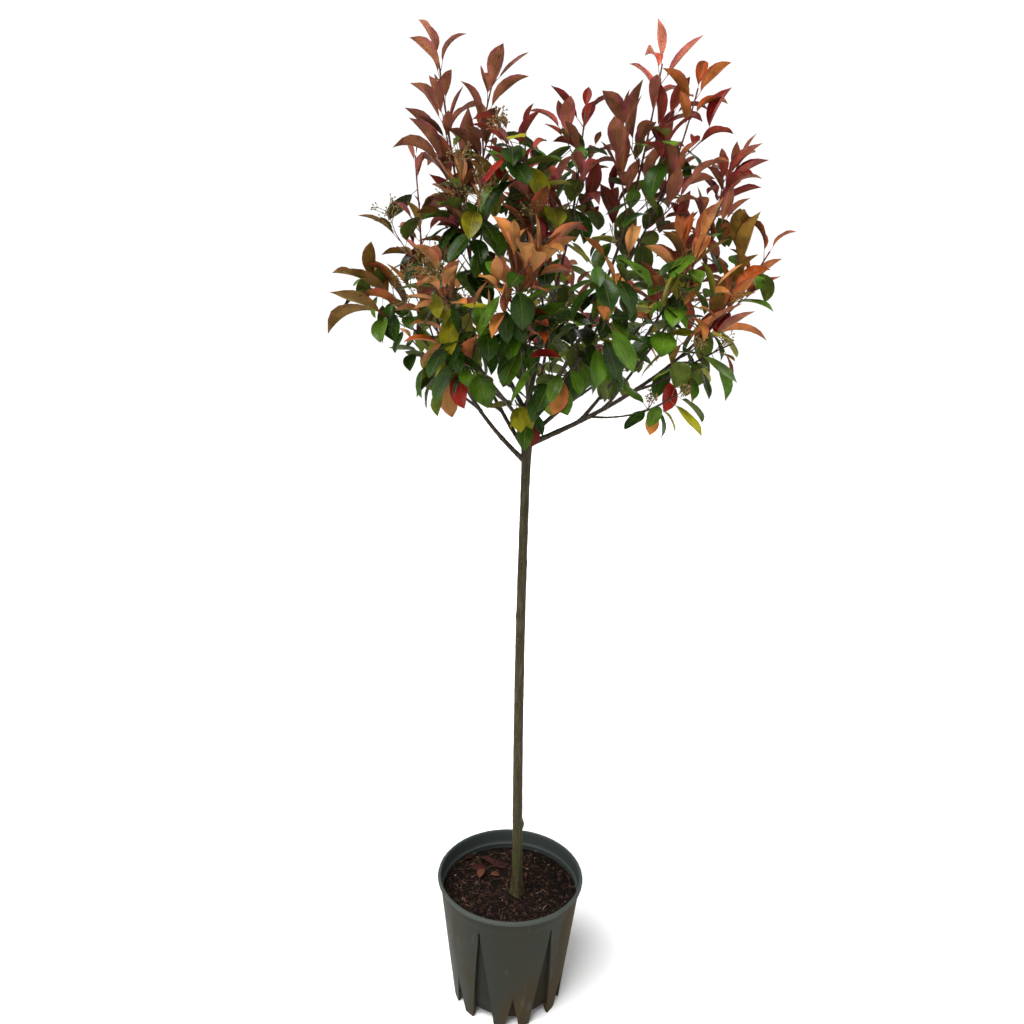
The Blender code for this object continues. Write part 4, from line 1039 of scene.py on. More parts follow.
def grow_twigs(number, limb, line):
    """The twigs of one spray, and the tufts of leaves that they carry."""
    rng = random.Random("grow " + limb.name)
    stem_length = line_length(line) * (1.0 - limb.bare)
    stem = part_of(line, limb.bare, 1.0, max(FEWEST_STEM_POINTS, int(stem_length / STEM_STEP)))
    thick = limb_radius(limb, limb.bare)
    twigs = [Twig(stem, thick, LIMB_TIP_RADIUS, limb.young)]
    phase = rng.uniform(0.0, 360.0)
    below_tip = 1.0 - limb.tip / stem_length
    tip_leaves = TIP_LEAVES + TIP_LEAVES_PER_METRE * limb.tip
    tip_leaves = round(min(1.0, TIP_FULL + limb.full) * tip_leaves)
    tufts = [Tuft(stem, tip_leaves, below_tip, STEM_END, limb.young, phase)]
    first, last = SHOOT_PLACES[0], min(SHOOT_PLACES[1], below_tip)
    for k in range(limb.shoots):
        share = first + (last - first) * (k + FIRST_PLACE) / limb.shoots
        reach = limb.spread * (SHOOT_REACH[0] - SHOOT_REACH[1] * share)
        reach *= rng.uniform(*SHOOT_LENGTHS)
        young = limb.young * rng.uniform(*SHOOT_YOUTH)
        leaf_turn = rng.uniform(0.0, 360.0)
        turn = phase + GOLDEN_ANGLE * k
        points = free_shoot(stem, share, turn, reach, number, SPACE_MARGIN)
        if points is not None:
            root_radius = SHOOT_SHARE * (thick + (LIMB_TIP_RADIUS - thick) * share)
            twigs.append(Twig(points, root_radius, SHOOT_TIP_RADIUS, young))
            tufts.append(Tuft(points, round(SHOOT_LEAVES * limb.full), *SHOOT_TUFT,
                              young, leaf_turn))
    tufts.append(Tuft(stem, round(STEM_LEAVES * limb.full), STEM_TUFT[0],
                      min(STEM_TUFT[1], STEM_TUFT_END * below_tip),
                      STEM_TUFT_YOUTH * limb.young, phase + 90.0))
    fine = random.Random("fine " + limb.name)
    first, last = FINE_PLACES[0], FINE_PLACES[1] * below_tip
    for k in range(round(FINE_TWIGS * limb.full) if limb.bare > 0.0 else FINE_TWIGS_FORK):
        share = first + (last - first) * (k + fine.uniform(*FINE_STRAY)) / FINE_TWIGS
        reach = limb.spread * FINE_REACH * fine.uniform(*FINE_LENGTHS)
        turn = phase + FINE_TURN + GOLDEN_ANGLE * k
        points = free_shoot(stem, share, turn, reach, number, 0.0)
        if points is not None:
            young = FINE_YOUTH * limb.young
            twigs.append(Twig(points, FINE_RADIUS, FINE_TIP_RADIUS, young))
            tufts.append(Tuft(points, round(FINE_LEAVES * limb.full), *FINE_TUFT,
                              young, fine.uniform(0.0, 360.0)))
    return twigs, tufts


def twig_line(twig, rng):
    """Points and radii of one twig, with a small swelling at each leaf node."""
    length = line_length(twig.points)
    count = max(FEWEST_TWIG_POINTS, int(length / TWIG_STEP))
    points = part_of(twig.points, 0.0, 1.0, count)
    start = rng.uniform(0.0, 1.0)
    radii = []
    for k in range(count):
        t = k / (count - 1)
        radius = twig.first_radius + (twig.last_radius - twig.first_radius) * t
        turns = start + length * t / TWIG_NODE_STEP
        node = max(0.0, math.cos(2.0 * math.pi * turns)) ** TWIG_NODE_NARROW
        radii.append(radius * (1.0 + TWIG_NODE_SWELL * node))
    return points, radii


def ripe_count(twig, count, is_stem):
    """How many of a twig's points are last year's wood."""
    if twig.young < RIPE_BELOW:
        return count
    return max(2, int(count * (1.0 - RED_SHARE * twig.young))) if is_stem else 0


room = Room(lines)
sprays = {}
brown_twigs, red_shoots = [], []
for number, limb in enumerate(LIMBS):
    twigs, sprays[limb.name] = grow_twigs(number, limb, lines[limb.name])
    rng = random.Random("nodes " + limb.name)
    for twig in twigs:
        points, radii = twig_line(twig, rng)
        ripe = ripe_count(twig, len(points), twig is twigs[0])
        if ripe > 1:
            brown_twigs.append((points[:ripe], radii[:ripe]))
        if ripe < len(points) - 1:
            first = max(0, ripe - 1)
            red_shoots.append((points[first:], radii[first:]))

mass_nodes = ["leaves_" + limb.name for limb in LIMBS]
for name, wood, finish in (
        ("brown_twigs", brown_twigs, bark_finish("twig_bark", TWIG_BROWN, TWIG_GREY, TWIG_DARK)),
        ("red_shoots", red_shoots, bark_finish("shoot_bark", SHOOT_RED, SHOOT_OCHRE, SHOOT_DARK))):
    twigs = made_by(grow_wood, name, line_mesh(name + "_lines", wood), {
        "Sides": 7, "Relief depth": 0.0004, "Relief grain": 260.0, "Finish": finish})
    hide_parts(*mass_nodes)
    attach(twigs, "root")


# ---- leaves -----------------------------------------------------------------
# Young leaves open narrow, folded along the midrib and bronze to crimson; with
# age they flatten, widen, turn a glossy green and hang.  An old leaf may turn
# yellow or scarlet before it drops.  Every leaf is its own closed blade.

LEAF_SHIFTS = (0.0, 35.0, -35.0, 75.0, -75.0, 120.0, 180.0)
LEAF_SIZES = (0.64, 1.16)
LEAF_WIDTHS = (0.86, 1.24)
LEADER_TIP = 0.10           # from this tip length on, the last leaves are full size
TIP_LEAF_FROM = 0.95        # elsewhere the last leaves of a tuft are smaller
TIP_LEAF_SIZE = 0.8
YOUTH_BY_PLACE = (0.55, 0.6)    # how the odds of a young leaf grow towards the tip
# How large the young leaves of some limbs grow, and how strongly they rise.
VIGOUR = {"left_leader": (1.25, 0.0), "leader_side": (1.12, 0.0), "right": (1.4, 0.35),
          "right_leader": (1.15, 0.1), "left_wing": (1.45, 0.05), "left_spire": (0.72, 0.3)}
TURN_SPREAD = 30.0          # how far a leaf strays from its place round the twig
LEAF_SPACE = -0.028         # a leaf may reach this far into the next spray
LIMB_MARGIN = 0.002
BLADE_ROOM = 0.0008
STALK_SHARE = 0.24
LEAF_BELLY = 0.55           # where along its length a leaf is widest
TIP_DROOP = 0.10
LOWEST_LEAF = 0.15          # below the top of the stem
NEAR = 0.12                 # leaves further apart than this can't cut each other
LIGHT_ALONG = 0.5           # a leaf's face turns to its shoot's tip by this share
LIGHT_ABOVE = 0.75          # and to the sky by this
FACE_ON = 0.05              # unless it points straight at the light
CROWN_HEART = (0.006, 0.0, 1.56)    # leaves near it are painted darker, as painted shade inside the crown
SHADE_RADIUS = 0.16
LIGHT_DEPTH = 0.26
TONE_BY_PLACE = 0.58        # a leaf's tone is painted shade by this share; the rest is chance
TONE_BY_CHANCE = 0.42
LOW_LEAFINESS = 0.6         # limbs less leafy than this hold the oldest leaves

# A habit is how young or old leaves grow: length, width as a share of it, the
# angle to the twig of a tuft's lowest and last leaf, its spread, and the sag.
Habit = namedtuple("Habit", "length width low_angle last_angle spread sag")
YOUNG_LEAF = Habit(0.088, 0.275, 60.0, 14.0, 17.0, (-0.12, 0.18))
OLD_LEAF = Habit(0.082, 0.44, 84.0, 56.0, 24.0, (0.1, 1.5))
Leaf = namedtuple("Leaf", "root direction normal length width shape tone")

# A form is one of the shapes that a leaf takes: its width as a share of its length,
# how wide its rows are, stalk length, the fold of its two halves, their doming, and
# how it bends, twists and waves.
Form = namedtuple("Form", "name ratio widths stalk fold dome bend twist wave")
YOUNG_WIDTHS = (0.05, 0.35, 0.69, 0.93, 1.0, 0.87, 0.57, 0.22)
OLD_WIDTHS = (0.06, 0.42, 0.75, 0.95, 1.0, 0.91, 0.67, 0.32)
FORMS = (
    Form("young_straight", 0.31, YOUNG_WIDTHS, 0.22, 0.42, 0.06, 0.20, 0.1, 0.006),
    Form("young_bent", 0.31, YOUNG_WIDTHS, 0.20, 0.52, 0.07, 0.80, -0.2, 0.009),
    Form("young_folded", 0.31, YOUNG_WIDTHS, 0.17, 0.95, 0.05, 0.40, 0.25, 0.005),
    Form("young_curled", 0.31, YOUNG_WIDTHS, 0.24, 0.60, 0.08, 1.15, 0.45, 0.010),
    Form("old_flat", 0.50, OLD_WIDTHS, 0.19, 0.12, 0.06, 0.25, 0.0, 0.010),
    Form("old_arched", 0.50, OLD_WIDTHS, 0.21, 0.22, 0.08, 0.75, 0.15, 0.014),
    Form("old_folded", 0.50, OLD_WIDTHS, 0.18, 0.42, 0.06, 0.45, -0.15, 0.010),
    Form("old_cupped", 0.50, OLD_WIDTHS, 0.20, -0.10, 0.10, 0.55, 0.2, 0.018),
)
YOUNG_FORMS = (0, 1, 2, 3)
OLD_FORMS = (4, 5, 6, 7)
BLADE_ROWS = (0.0, 0.09, 0.21, 0.35, 0.50, 0.65, 0.79, 0.91, 1.0)
BLADE_COLUMNS = (-1.0, -0.5, 0.0, 0.5, 1.0)
WAVE_TURNS = 9.0
WAVE_SHIFT = 1.5            # so that the two edges don't wave together
KEEL = 0.010                # thickness of the midrib, as a share of the length
KEEL_TAPER = 1.15
STALK_RADII = (0.011, 0.008, 0.006)
STALK_DROP = 0.004
BLADE, UNDERSIDE, STALK = 0, 1, 2

# Tints: the colour of the upper side, of the underside, and the gloss.
Tint = namedtuple("Tint", "name upper under roughness gloss young")
TINTS = (
    Tint("bronze_leaves", (0.255, 0.074, 0.024), (0.320, 0.115, 0.055), 0.42, 0.09, True),
    Tint("copper_leaves", (0.460, 0.172, 0.034), (0.520, 0.235, 0.070), 0.42, 0.09, True),
    Tint("wine_leaves", (0.165, 0.011, 0.006), (0.260, 0.042, 0.022), 0.38, 0.09, True),
    Tint("rose_leaves", (0.430, 0.075, 0.042), (0.480, 0.150, 0.088), 0.42, 0.09, True),
    Tint("rust_leaves", (0.285, 0.055, 0.006), (0.325, 0.098, 0.022), 0.40, 0.09, True),
    Tint("olive_leaves", (0.185, 0.090, 0.005), (0.230, 0.125, 0.018), 0.40, 0.09, True),
    Tint("dark_green_leaves", (0.021, 0.058, 0.003), (0.075, 0.105, 0.009), 0.27, 0.16, False),
    Tint("mid_green_leaves", (0.070, 0.152, 0.006), (0.130, 0.165, 0.014), 0.29, 0.15, False),
    Tint("lime_leaves", (0.260, 0.240, 0.006), (0.260, 0.240, 0.018), 0.36, 0.12, False),
    Tint("scarlet_leaves", (0.270, 0.010, 0.004), (0.265, 0.040, 0.012), 0.34, 0.12, False),
)
UNDERSIDE_ROUGHNESS = 0.62
UNDERSIDE_GLOSS = 0.1
VEIN_PALE = (0.40, 0.30, 0.14)
VEIN_SHARE = 0.38           # of the pale colour in a tint's veins
YOUNG_EDGE = (0.95, 0.55, 1.5)      # a young leaf's edge is redder than its middle
OLD_EDGE = (0.75, 0.80, 1.0)
YOUNG_STALK, YOUNG_STALK_VEIN = (0.16, 0.03, 0.022), (0.22, 0.06, 0.04)
OLD_STALK, OLD_STALK_VEIN = (0.12, 0.07, 0.028), (0.16, 0.11, 0.045)
STALK_GLOSS = 0.3
# A leaf's tone runs between these: painted shade deep in the crown, and chance.
DARK_LEAF = 0.20            # the darkest and the lightest leaf of a tint
LIGHT_LEAF = 1.55
CLOUD = (0.30, 0.30, 0.30)  # painted shade: darkest patches within a leaf
MOST_CLOUD = 0.65
MOST_EDGE = 0.75            # how far each pattern covers the one below it
MOST_BLOTCH = 0.20
MOST_VEIN = 0.09
MOST_RIB = 0.42
CLOUD_GRAIN = (30.0, 2.0)
EDGE_GRAIN = (24.0,)
BLOTCH_GRAIN = (55.0, 3.0)
BLOTCH_GLOSS = (-0.04, 0.08)    # added to the roughness outside and in a blotch
VEIN_DEPTH = -0.0012
RIB_EDGE = (0.035, 0.008)   # half width of the midrib
VEIN_SLANT = -0.62
VEIN_CLOSENESS = 58.0
# The tints of each spray's young leaves, more often the ones named twice; then
# the old leaves' tints, each with the draw up to which it is taken.
SPRAY_TINTS = {
    "left": ("olive", "copper", "rose"), "left_wing": ("olive", "rust", "olive"),
    "left_low": ("olive", "copper"), "left_leader": ("bronze", "bronze", "bronze", "wine"),
    "left_spire": ("rose", "wine"), "leader_side": ("bronze", "bronze", "rust"),
    "middle_left": ("rose", "copper", "olive"), "front_left": ("copper", "copper", "rust"),
    "front_left_low": ("copper", "olive"), "front": ("copper", "copper", "rust"),
    "front_right": ("rust", "copper", "olive"), "front_low": ("olive",),
    "middle_top": ("wine", "rose", "bronze"), "middle_front": ("rust", "wine", "rose"),
    "right_leader": ("rose", "wine", "bronze"), "right_outer": ("wine", "bronze", "rust"),
    "right": ("rust", "bronze", "olive"), "right_shoulder": ("rust", "wine", "bronze"),
    "right_front": ("rust", "copper", "olive"), "right_low": ("olive", "rust"),
    "right_twig": ("copper",), "back_right": ("bronze", "rust", "rose"),
    "back_right_low": ("olive",), "back": ("rose", "bronze", "rust"), "back_low": ("olive",),
    "back_left": ("copper", "rose", "bronze"), "back_left_low": ("olive",),
    "back_top": ("wine", "bronze", "rose"), "fork": ("olive",),
}
OLD_TINTS = (("dark_green", 0.50), ("mid_green", 0.88), ("lime", 0.96), ("scarlet", 1.0))
LOW_TINTS = (("dark_green", 0.30), ("mid_green", 0.66), ("lime", 0.84), ("scarlet", 0.92),
             ("copper", 1.0))


def midrib(form):
    """Places and leans along a leaf's middle: the stalk's foot, then each row."""
    places = []
    x = z = last = 0.0
    for row in (-form.stalk / (1.0 - form.stalk), *BLADE_ROWS):
        step = (row - last) * (1.0 - form.stalk) if places else 0.0
        angle = -form.bend * max(0.0, 0.5 * (row + last))
        x += step * math.cos(angle)
        z += step * math.sin(angle)
        places.append((x, z, -form.bend * max(0.0, row)))
        last = row
    return places


def blade_point(form, place, t, wide, u):
    """A point of the blade, at a share of its length and of its half width."""
    x, z, lean = place
    half = 0.5 * form.ratio * wide
    y = half * u
    rise = abs(y) * form.fold + 4.0 * form.dome * half * (abs(u) - u * u)
    wave = math.sin(WAVE_TURNS * t + (WAVE_SHIFT if u > 0 else 0.0))
    rise += form.wave * u * u * wave * min(1.0, 3.0 * wide)
    roll = form.twist * t
    across = y * math.cos(roll) - rise * math.sin(roll)
    above = y * math.sin(roll) + rise * math.cos(roll)
    return x - above * math.sin(lean), across, z + above * math.cos(lean)


def leaf_skin(form):
    """A leaf one unit long, along +X with its face up: blade above, keel below.

    Gives its points, their marks across and along the leaf, and each face with
    the part of the leaf that it belongs to.
    """
    root, *blade, end = midrib(form)
    rows = len(blade)
    columns = len(BLADE_COLUMNS)
    verts = [blade_point(form, place, t, wide, u)
             for place, t, wide in zip(blade, BLADE_ROWS, form.widths) for u in BLADE_COLUMNS]
    marks = [(0.5 + 0.5 * u, t) for t in BLADE_ROWS[:-1] for u in BLADE_COLUMNS]
    tip, keel = len(verts), len(verts) + 1
    verts.append((end[0], 0.0, end[1]))
    marks.append((0.5, 1.0))
    for (x, z, lean), t in zip(blade, BLADE_ROWS):
        depth = KEEL * (KEEL_TAPER - t)
        verts.append((x + depth * math.sin(lean), 0.0, z - depth * math.cos(lean)))
        marks.append((0.5, t))
    faces = []
    for row in range(rows):
        low, high = columns * row, columns * (row + 1)
        if row < rows - 1:
            faces += [((low + k, high + k, high + k + 1, low + k + 1), BLADE)
                      for k in range(columns - 1)]
            faces += [((low, keel + row, keel + row + 1, high), UNDERSIDE),
                      ((keel + row, high - 1, high + columns - 1, keel + row + 1), UNDERSIDE)]
        else:
            faces += [((low + k, tip, low + k + 1), BLADE) for k in range(columns - 1)]
            faces += [((low, keel + row, tip), UNDERSIDE), ((keel + row, high - 1, tip), UNDERSIDE)]
    faces.append(((*range(columns), keel), UNDERSIDE))
    # The stalk is a three-sided tube from the twig into the blade.
    first = len(verts)
    for (x, z), r in zip((root[:2], (0.5 * form.stalk, 0.0), blade[1][:2]), STALK_RADII):
        for k in range(3):
            turn = 2.0 * math.pi * k / 3 + 0.5
            verts.append((x, r * math.cos(turn), z + r * math.sin(turn) - STALK_DROP))
            marks.append((0.5, -0.1))
    for low in (first, first + 3):
        faces += [((low + k, low + (k + 1) % 3, low + (k + 1) % 3 + 3, low + k + 3), STALK)
                  for k in range(3)]
    faces += [((first + 2, first + 1, first), STALK), ((first + 6, first + 7, first + 8), STALK)]
    return verts, marks, faces


def leaf_shape(number, form):
    """A leaf's mesh, crisp where two of its parts meet."""
    verts, marks, faces = leaf_skin(form)
    mesh = bpy.data.meshes.new(form.name)
    mesh.from_pydata(verts, [], [corners for corners, _ in faces])
    mesh.shade_smooth()
    parts = [part for _, part in faces]
    sides = {}
    for face, part in zip(mesh.polygons, parts):
        for key in face.edge_keys:
            sides.setdefault(key, set()).add(part)
    sharp = mesh.attributes.new("sharp_edge", 'BOOLEAN', 'EDGE')
    for edge in mesh.edges:
        sharp.data[edge.index].value = len(sides[edge.key]) > 1
    mesh.attributes.new("leaf_part", 'INT', 'FACE').data.foreach_set("value", parts)
    layer = mesh.uv_layers.new(name="LeafMap")
    for corner in mesh.loops:
        layer.data[corner.index].uv = marks[corner.vertex_index]
    return bpy.data.objects.new(f"{number}_{form.name}", mesh)


def leaf_tree():
    """Sets a leaf shape on every point, turned and sized by the point's own values."""
    tree, given, end = new_tree("Leaves", (
        ("Shapes", 'Collection'), ("Size", 'Float'), ("Upper", 'Material'),
        ("Underside", 'Material'), ("Stalk", 'Material')))
    shapes = add(tree, 'GeometryNodeCollectionInfo', links=(
        ("Collection", given["Shapes"]), ("Separate Children", True), ("Reset Children", True)))
    turn = add(tree, 'FunctionNodeEulerToRotation', links=(
        ("Euler", stored(tree, "turn", 'FLOAT_VECTOR')),))
    size = add(tree, 'ShaderNodeVectorMath', operation='SCALE', links=(
        (0, stored(tree, "size", 'FLOAT_VECTOR')), ("Scale", given["Size"])))
    set_on = add(tree, 'GeometryNodeInstanceOnPoints', links=(
        ("Points", given["Geometry"]), ("Instance", shapes.outputs[0]), ("Pick Instance", True),
        ("Instance Index", stored(tree, "shape", 'INT')), ("Rotation", turn.outputs[0]),
        ("Scale", size.outputs[0])))
    dyed = made_real(tree, set_on.outputs[0], given["Upper"])
    part = stored(tree, "leaf_part", 'INT')
    for number, label in ((UNDERSIDE, "Underside"), (STALK, "Stalk")):
        chosen = add(tree, 'FunctionNodeCompare', data_type='INT', operation='EQUAL', links=(
            (2, part), (3, number)))
        dyed = add(tree, 'GeometryNodeSetMaterial', links=(
            ("Geometry", dyed), ("Selection", chosen.outputs[0]),
            ("Material", given[label]))).outputs[0]
    tree.links.new(dyed, end.inputs[0])
    return tree


def leaf_finish(name, colour, edge, roughness, gloss, vein):
    """A leaf's skin: the tint, another at its edge, and pale midrib and side veins."""
    finish, tree, place = new_finish(name)
    mark = add(tree, 'ShaderNodeUVMap', uv_map="LeafMap").outputs["UV"]
    across, along, _ = axes(tree, mark)
    off_rib = calc(tree, 'ABSOLUTE', calc(tree, 'SUBTRACT', across, 0.5))
    rib = ranged(tree, off_rib, *RIB_EDGE)
    slant = calc(tree, 'ADD', calc(tree, 'MULTIPLY', off_rib, VEIN_SLANT), along)
    veins = calc(tree, 'SINE', calc(tree, 'MULTIPLY', slant, VEIN_CLOSENESS))
    veins = ranged(tree, veins, 0.80, 1.0)
    blotch = ranged(tree, grain(tree, place, *BLOTCH_GRAIN), 0.35, 0.68)
    cloud = ranged(tree, grain(tree, place, *CLOUD_GRAIN), 0.38, 0.62, 0.0, MOST_CLOUD)
    outer = calc(tree, 'MULTIPLY', ranged(tree, off_rib, 0.14, 0.46),
                 ranged(tree, grain(tree, place, *EDGE_GRAIN), 0.36, 0.60))
    dark = tuple(DARK_LEAF * value for value in colour)
    light = tuple(min(1.0, LIGHT_LEAF * value) for value in colour)
    # Painted shade: a leaf deep in the crown takes the dark end, mixed with chance.
    shade = mixed(tree, painted(tree, "tone"), dark, light)
    shade = mixed(tree, up_to(tree, outer, MOST_EDGE), shade, edge)
    shade = mixed(tree, up_to(tree, blotch, MOST_BLOTCH), shade, colour)
    # Painted shade in patches across the leaf.
    shade = mixed(tree, cloud, shade, CLOUD, blend='MULTIPLY')
    shade = mixed(tree, up_to(tree, veins, MOST_VEIN), shade, vein)
    shade = mixed(tree, up_to(tree, rib, MOST_RIB), shade, vein)
    smooth, rough = (roughness + change for change in BLOTCH_GLOSS)
    coat(tree, shade, ranged(tree, blotch, 0.0, 1.0, smooth, rough), gloss)
    relief(tree, calc(tree, 'ADD', veins, rib), VEIN_DEPTH, 0.7)
    return finish


def leaf_on(points, share, turn, angle, sag, length, width, shape, tone):
    """A leaf that leaves a twig at a share of its length, its face to the light."""
    root, axis = point_along(points, share)
    direction = unit(lean_from(axis, angle, turn) - np.array((0.0, 0.0, sag)))
    light = axis * LIGHT_ALONG + np.array((0.0, 0.0, LIGHT_ABOVE))
    normal = light - direction * np.dot(light, direction)
    if np.linalg.norm(normal) < FACE_ON:
        normal = side_direction(direction, 0.0)
    return Leaf(root, direction, unit(normal), length, width, shape, tone)


def blade_outline(leaf):
    """The leaf without its stalk end, with a little room round it."""
    side = np.cross(leaf.direction, leaf.normal) * (0.5 * leaf.width + BLADE_ROOM)
    neck = leaf.root + leaf.direction * (leaf.length * STALK_SHARE)
    belly = leaf.root + leaf.direction * (leaf.length * LEAF_BELLY)
    tip = leaf.root + leaf.direction * (leaf.length + BLADE_ROOM)
    tip = tip - leaf.normal * (leaf.length * TIP_DROOP)
    return ([neck - side * 0.5, neck + side * 0.5, belly + side, belly - side, tip],
            [(0, 1, 2, 3), (3, 2, 4)])


def outline_tree(outlines):
    verts, faces = [], []
    for outline_verts, outline_faces in outlines:
        first = len(verts)
        verts.extend(tuple(v) for v in outline_verts)
        faces.extend(tuple(first + k for k in face) for face in outline_faces)
    return BVHTree.FromPolygons(verts, faces)


def leaf_fits(leaf, number):
    """Near its own spray, clear of every limb, and not cut by another leaf."""
    outline = blade_outline(leaf)
    body = np.array(outline[0])
    if body[:, 2].min() < TRUNK_TOP - LOWEST_LEAF:
        return False
    if not room.in_space(body, number, LEAF_SPACE) or not room.off_limbs(body, LIMB_MARGIN):
        return False
    middle = leaf.root + leaf.direction * (LEAF_BELLY * leaf.length)
    near = np.flatnonzero(np.linalg.norm(room.middles - middle, axis=1) < NEAR)
    close = [room.blades[k] for k in near]
    if close and outline_tree(close).overlap(outline_tree([outline])):
        return False
    room.blades.append(outline)
    room.middles = np.vstack((room.middles, middle))
    return True


def old_tint(limb, rng):
    draw = rng.random()
    tints = LOW_TINTS if limb.full < LOW_LEAFINESS else OLD_TINTS
    return next(name for name, limit in tints if draw <= limit)


def grow_tuft(tuft, tint, number, rng, dealt):
    """Leaves up a shoot by the golden angle; those nearest its tip are youngest."""
    limb = LIMBS[number]
    for k in range(tuft.count):
        share = tuft.first + (tuft.last - tuft.first) * k / max(1, tuft.count - 1)
        near_tip = (k + 1) / tuft.count
        odds = tuft.young * (YOUTH_BY_PLACE[0] + YOUTH_BY_PLACE[1] * near_tip)
        is_young = rng.random() < odds
        habit = YOUNG_LEAF if is_young else OLD_LEAF
        size, rise = VIGOUR.get(limb.name, (1.0, 0.0)) if is_young else (1.0, 0.0)
        length = habit.length * rng.uniform(*LEAF_SIZES) * size
        if is_young and near_tip > TIP_LEAF_FROM and limb.tip < LEADER_TIP:
            length *= TIP_LEAF_SIZE
        width = length * habit.width * rng.uniform(*LEAF_WIDTHS)
        angle = habit.low_angle + (habit.last_angle - habit.low_angle) * near_tip
        angle += rng.uniform(-habit.spread, habit.spread)
        sag = rng.uniform(*habit.sag) - rise
        stray = rng.uniform(-TURN_SPREAD, TURN_SPREAD)
        shape = rng.choice(YOUNG_FORMS if is_young else OLD_FORMS)
        # Painted shade: leaves near the crown's heart get a darker tone; the rest is chance.
        out = np.linalg.norm(point_along(tuft.points, share)[0] - np.array(CROWN_HEART))
        lit = min(1.0, max(0.0, (out - SHADE_RADIUS) / LIGHT_DEPTH))
        tone = lit * TONE_BY_PLACE + TONE_BY_CHANCE * rng.random()
        name = tint if is_young else old_tint(limb, rng)
        for shift in LEAF_SHIFTS:
            turn = tuft.turn + GOLDEN_ANGLE * k + stray + shift
            leaf = leaf_on(tuft.points, share, turn, angle, sag, length, width, shape, tone)
            if leaf_fits(leaf, number):
                dealt.setdefault(name + "_leaves", []).append(leaf)
                break


def leaf_points(name, leaves):
    """One point for each leaf, with its turn, size, shape and tone."""
    mesh = bpy.data.meshes.new(name + "_points")
    mesh.from_pydata([tuple(leaf.root) for leaf in leaves], [], [])
    turns, sizes = [], []
    for leaf in leaves:
        side = np.cross(leaf.normal, leaf.direction)
        turns += Matrix((leaf.direction, side, leaf.normal)).transposed().to_euler()[:]
        sizes += [leaf.length, leaf.width / FORMS[leaf.shape].ratio, leaf.length]
    point_values(mesh, "turn", turns, 'FLOAT_VECTOR', "vector")
    point_values(mesh, "size", sizes, 'FLOAT_VECTOR', "vector")
    point_values(mesh, "shape", [leaf.shape for leaf in leaves], 'INT')
    point_values(mesh, "tone", [leaf.tone for leaf in leaves])
    return mesh


leaf_shapes = bpy.data.collections.new("leaf_shapes")
for number, form in enumerate(FORMS):
    leaf_shapes.objects.link(leaf_shape(number, form))

dealt = {}
for number, limb in enumerate(LIMBS):
    rng = random.Random("leaf " + limb.name)
    for tuft in sprays[limb.name]:
        grow_tuft(tuft, rng.choice(SPRAY_TINTS[limb.name]), number, rng, dealt)

set_leaves = leaf_tree()
young_stalk = leaf_finish("young_stalks", YOUNG_STALK, YOUNG_STALK, 0.4, STALK_GLOSS,
                          YOUNG_STALK_VEIN)
old_stalk = leaf_finish("old_stalks", OLD_STALK, OLD_STALK, 0.45, STALK_GLOSS, OLD_STALK_VEIN)
for tint in TINTS:
    vein = tuple((1.0 - VEIN_SHARE) * value + VEIN_SHARE * pale
                 for value, pale in zip(tint.upper, VEIN_PALE))
    turned = YOUNG_EDGE if tint.young else OLD_EDGE
    edge, under_edge = (tuple(value * share for value, share in zip(side, turned))
                        for side in (tint.upper, tint.under))
    leaves = made_by(set_leaves, tint.name, leaf_points(tint.name, dealt[tint.name]), {
        "Shapes": leaf_shapes, "Size": 1.0,
        "Upper": leaf_finish(tint.name + "_upper", tint.upper, edge,
                             tint.roughness, tint.gloss, vein),
        "Underside": leaf_finish(tint.name + "_underside", tint.under, under_edge,
                                 UNDERSIDE_ROUGHNESS, UNDERSIDE_GLOSS, vein),
        "Stalk": young_stalk if tint.young else old_stalk})
    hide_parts(*mass_nodes)
    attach(leaves, "root")


# ---- fallen leaves ----------------------------------------------------------
# A few dead leaves have dropped on the compost and lie there, curled and brown
# or dull red, mostly at the back of the pot.

Fallen = namedtuple("Fallen", "name x y heading rise length shape")
FALLEN = (
    Fallen("fallen_red_leaves", -0.118, 0.082, 38.0, 0.10, 0.056, 3),
    Fallen("fallen_red_leaves", -0.082, 0.104, -28.0, 0.16, 0.060, 1),
    Fallen("fallen_red_leaves", -0.100, 0.062, 10.0, 0.16, 0.052, 7),
    Fallen("fallen_red_leaves", -0.048, 0.070, 5.0, 0.18, 0.044, 5),
    Fallen("fallen_brown_leaves", -0.070, 0.018, 80.0, 0.30, 0.036, 6),
    Fallen("fallen_brown_leaves", -0.050, 0.036, 20.0, 0.14, 0.030, 5),
    Fallen("fallen_brown_leaves", 0.036, 0.022, 95.0, 0.30, 0.026, 2),
    Fallen("fallen_brown_leaves", 0.030, 0.118, 165.0, 0.20, 0.030, 1),
)
FALLEN_COLOURS = (("fallen_red_leaves", (0.034, 0.006, 0.004)),
                  ("fallen_brown_leaves", (0.085, 0.027, 0.013)))
FALLEN_TONE = 0.6
FALLEN_PALE = 1.3           # underside and veins, against the upper side
FALLEN_DULL = 0.6           # the edge
LYING = 0.004               # a curled leaf's stalk end lies this far above the crust


def fallen_leaf(fallen):
    turn = math.radians(fallen.heading)
    direction = unit(np.array((math.cos(turn), math.sin(turn), fallen.rise)))
    up = np.array((0.0, 0.0, 1.0))
    normal = unit(up - direction * np.dot(up, direction))
    root = np.array((fallen.x, fallen.y, SOIL_TOP + crumb_height(fallen.x, fallen.y) + LYING))
    width = fallen.length * FORMS[fallen.shape].ratio
    return Leaf(root, direction, normal, fallen.length, width, fallen.shape, FALLEN_TONE)


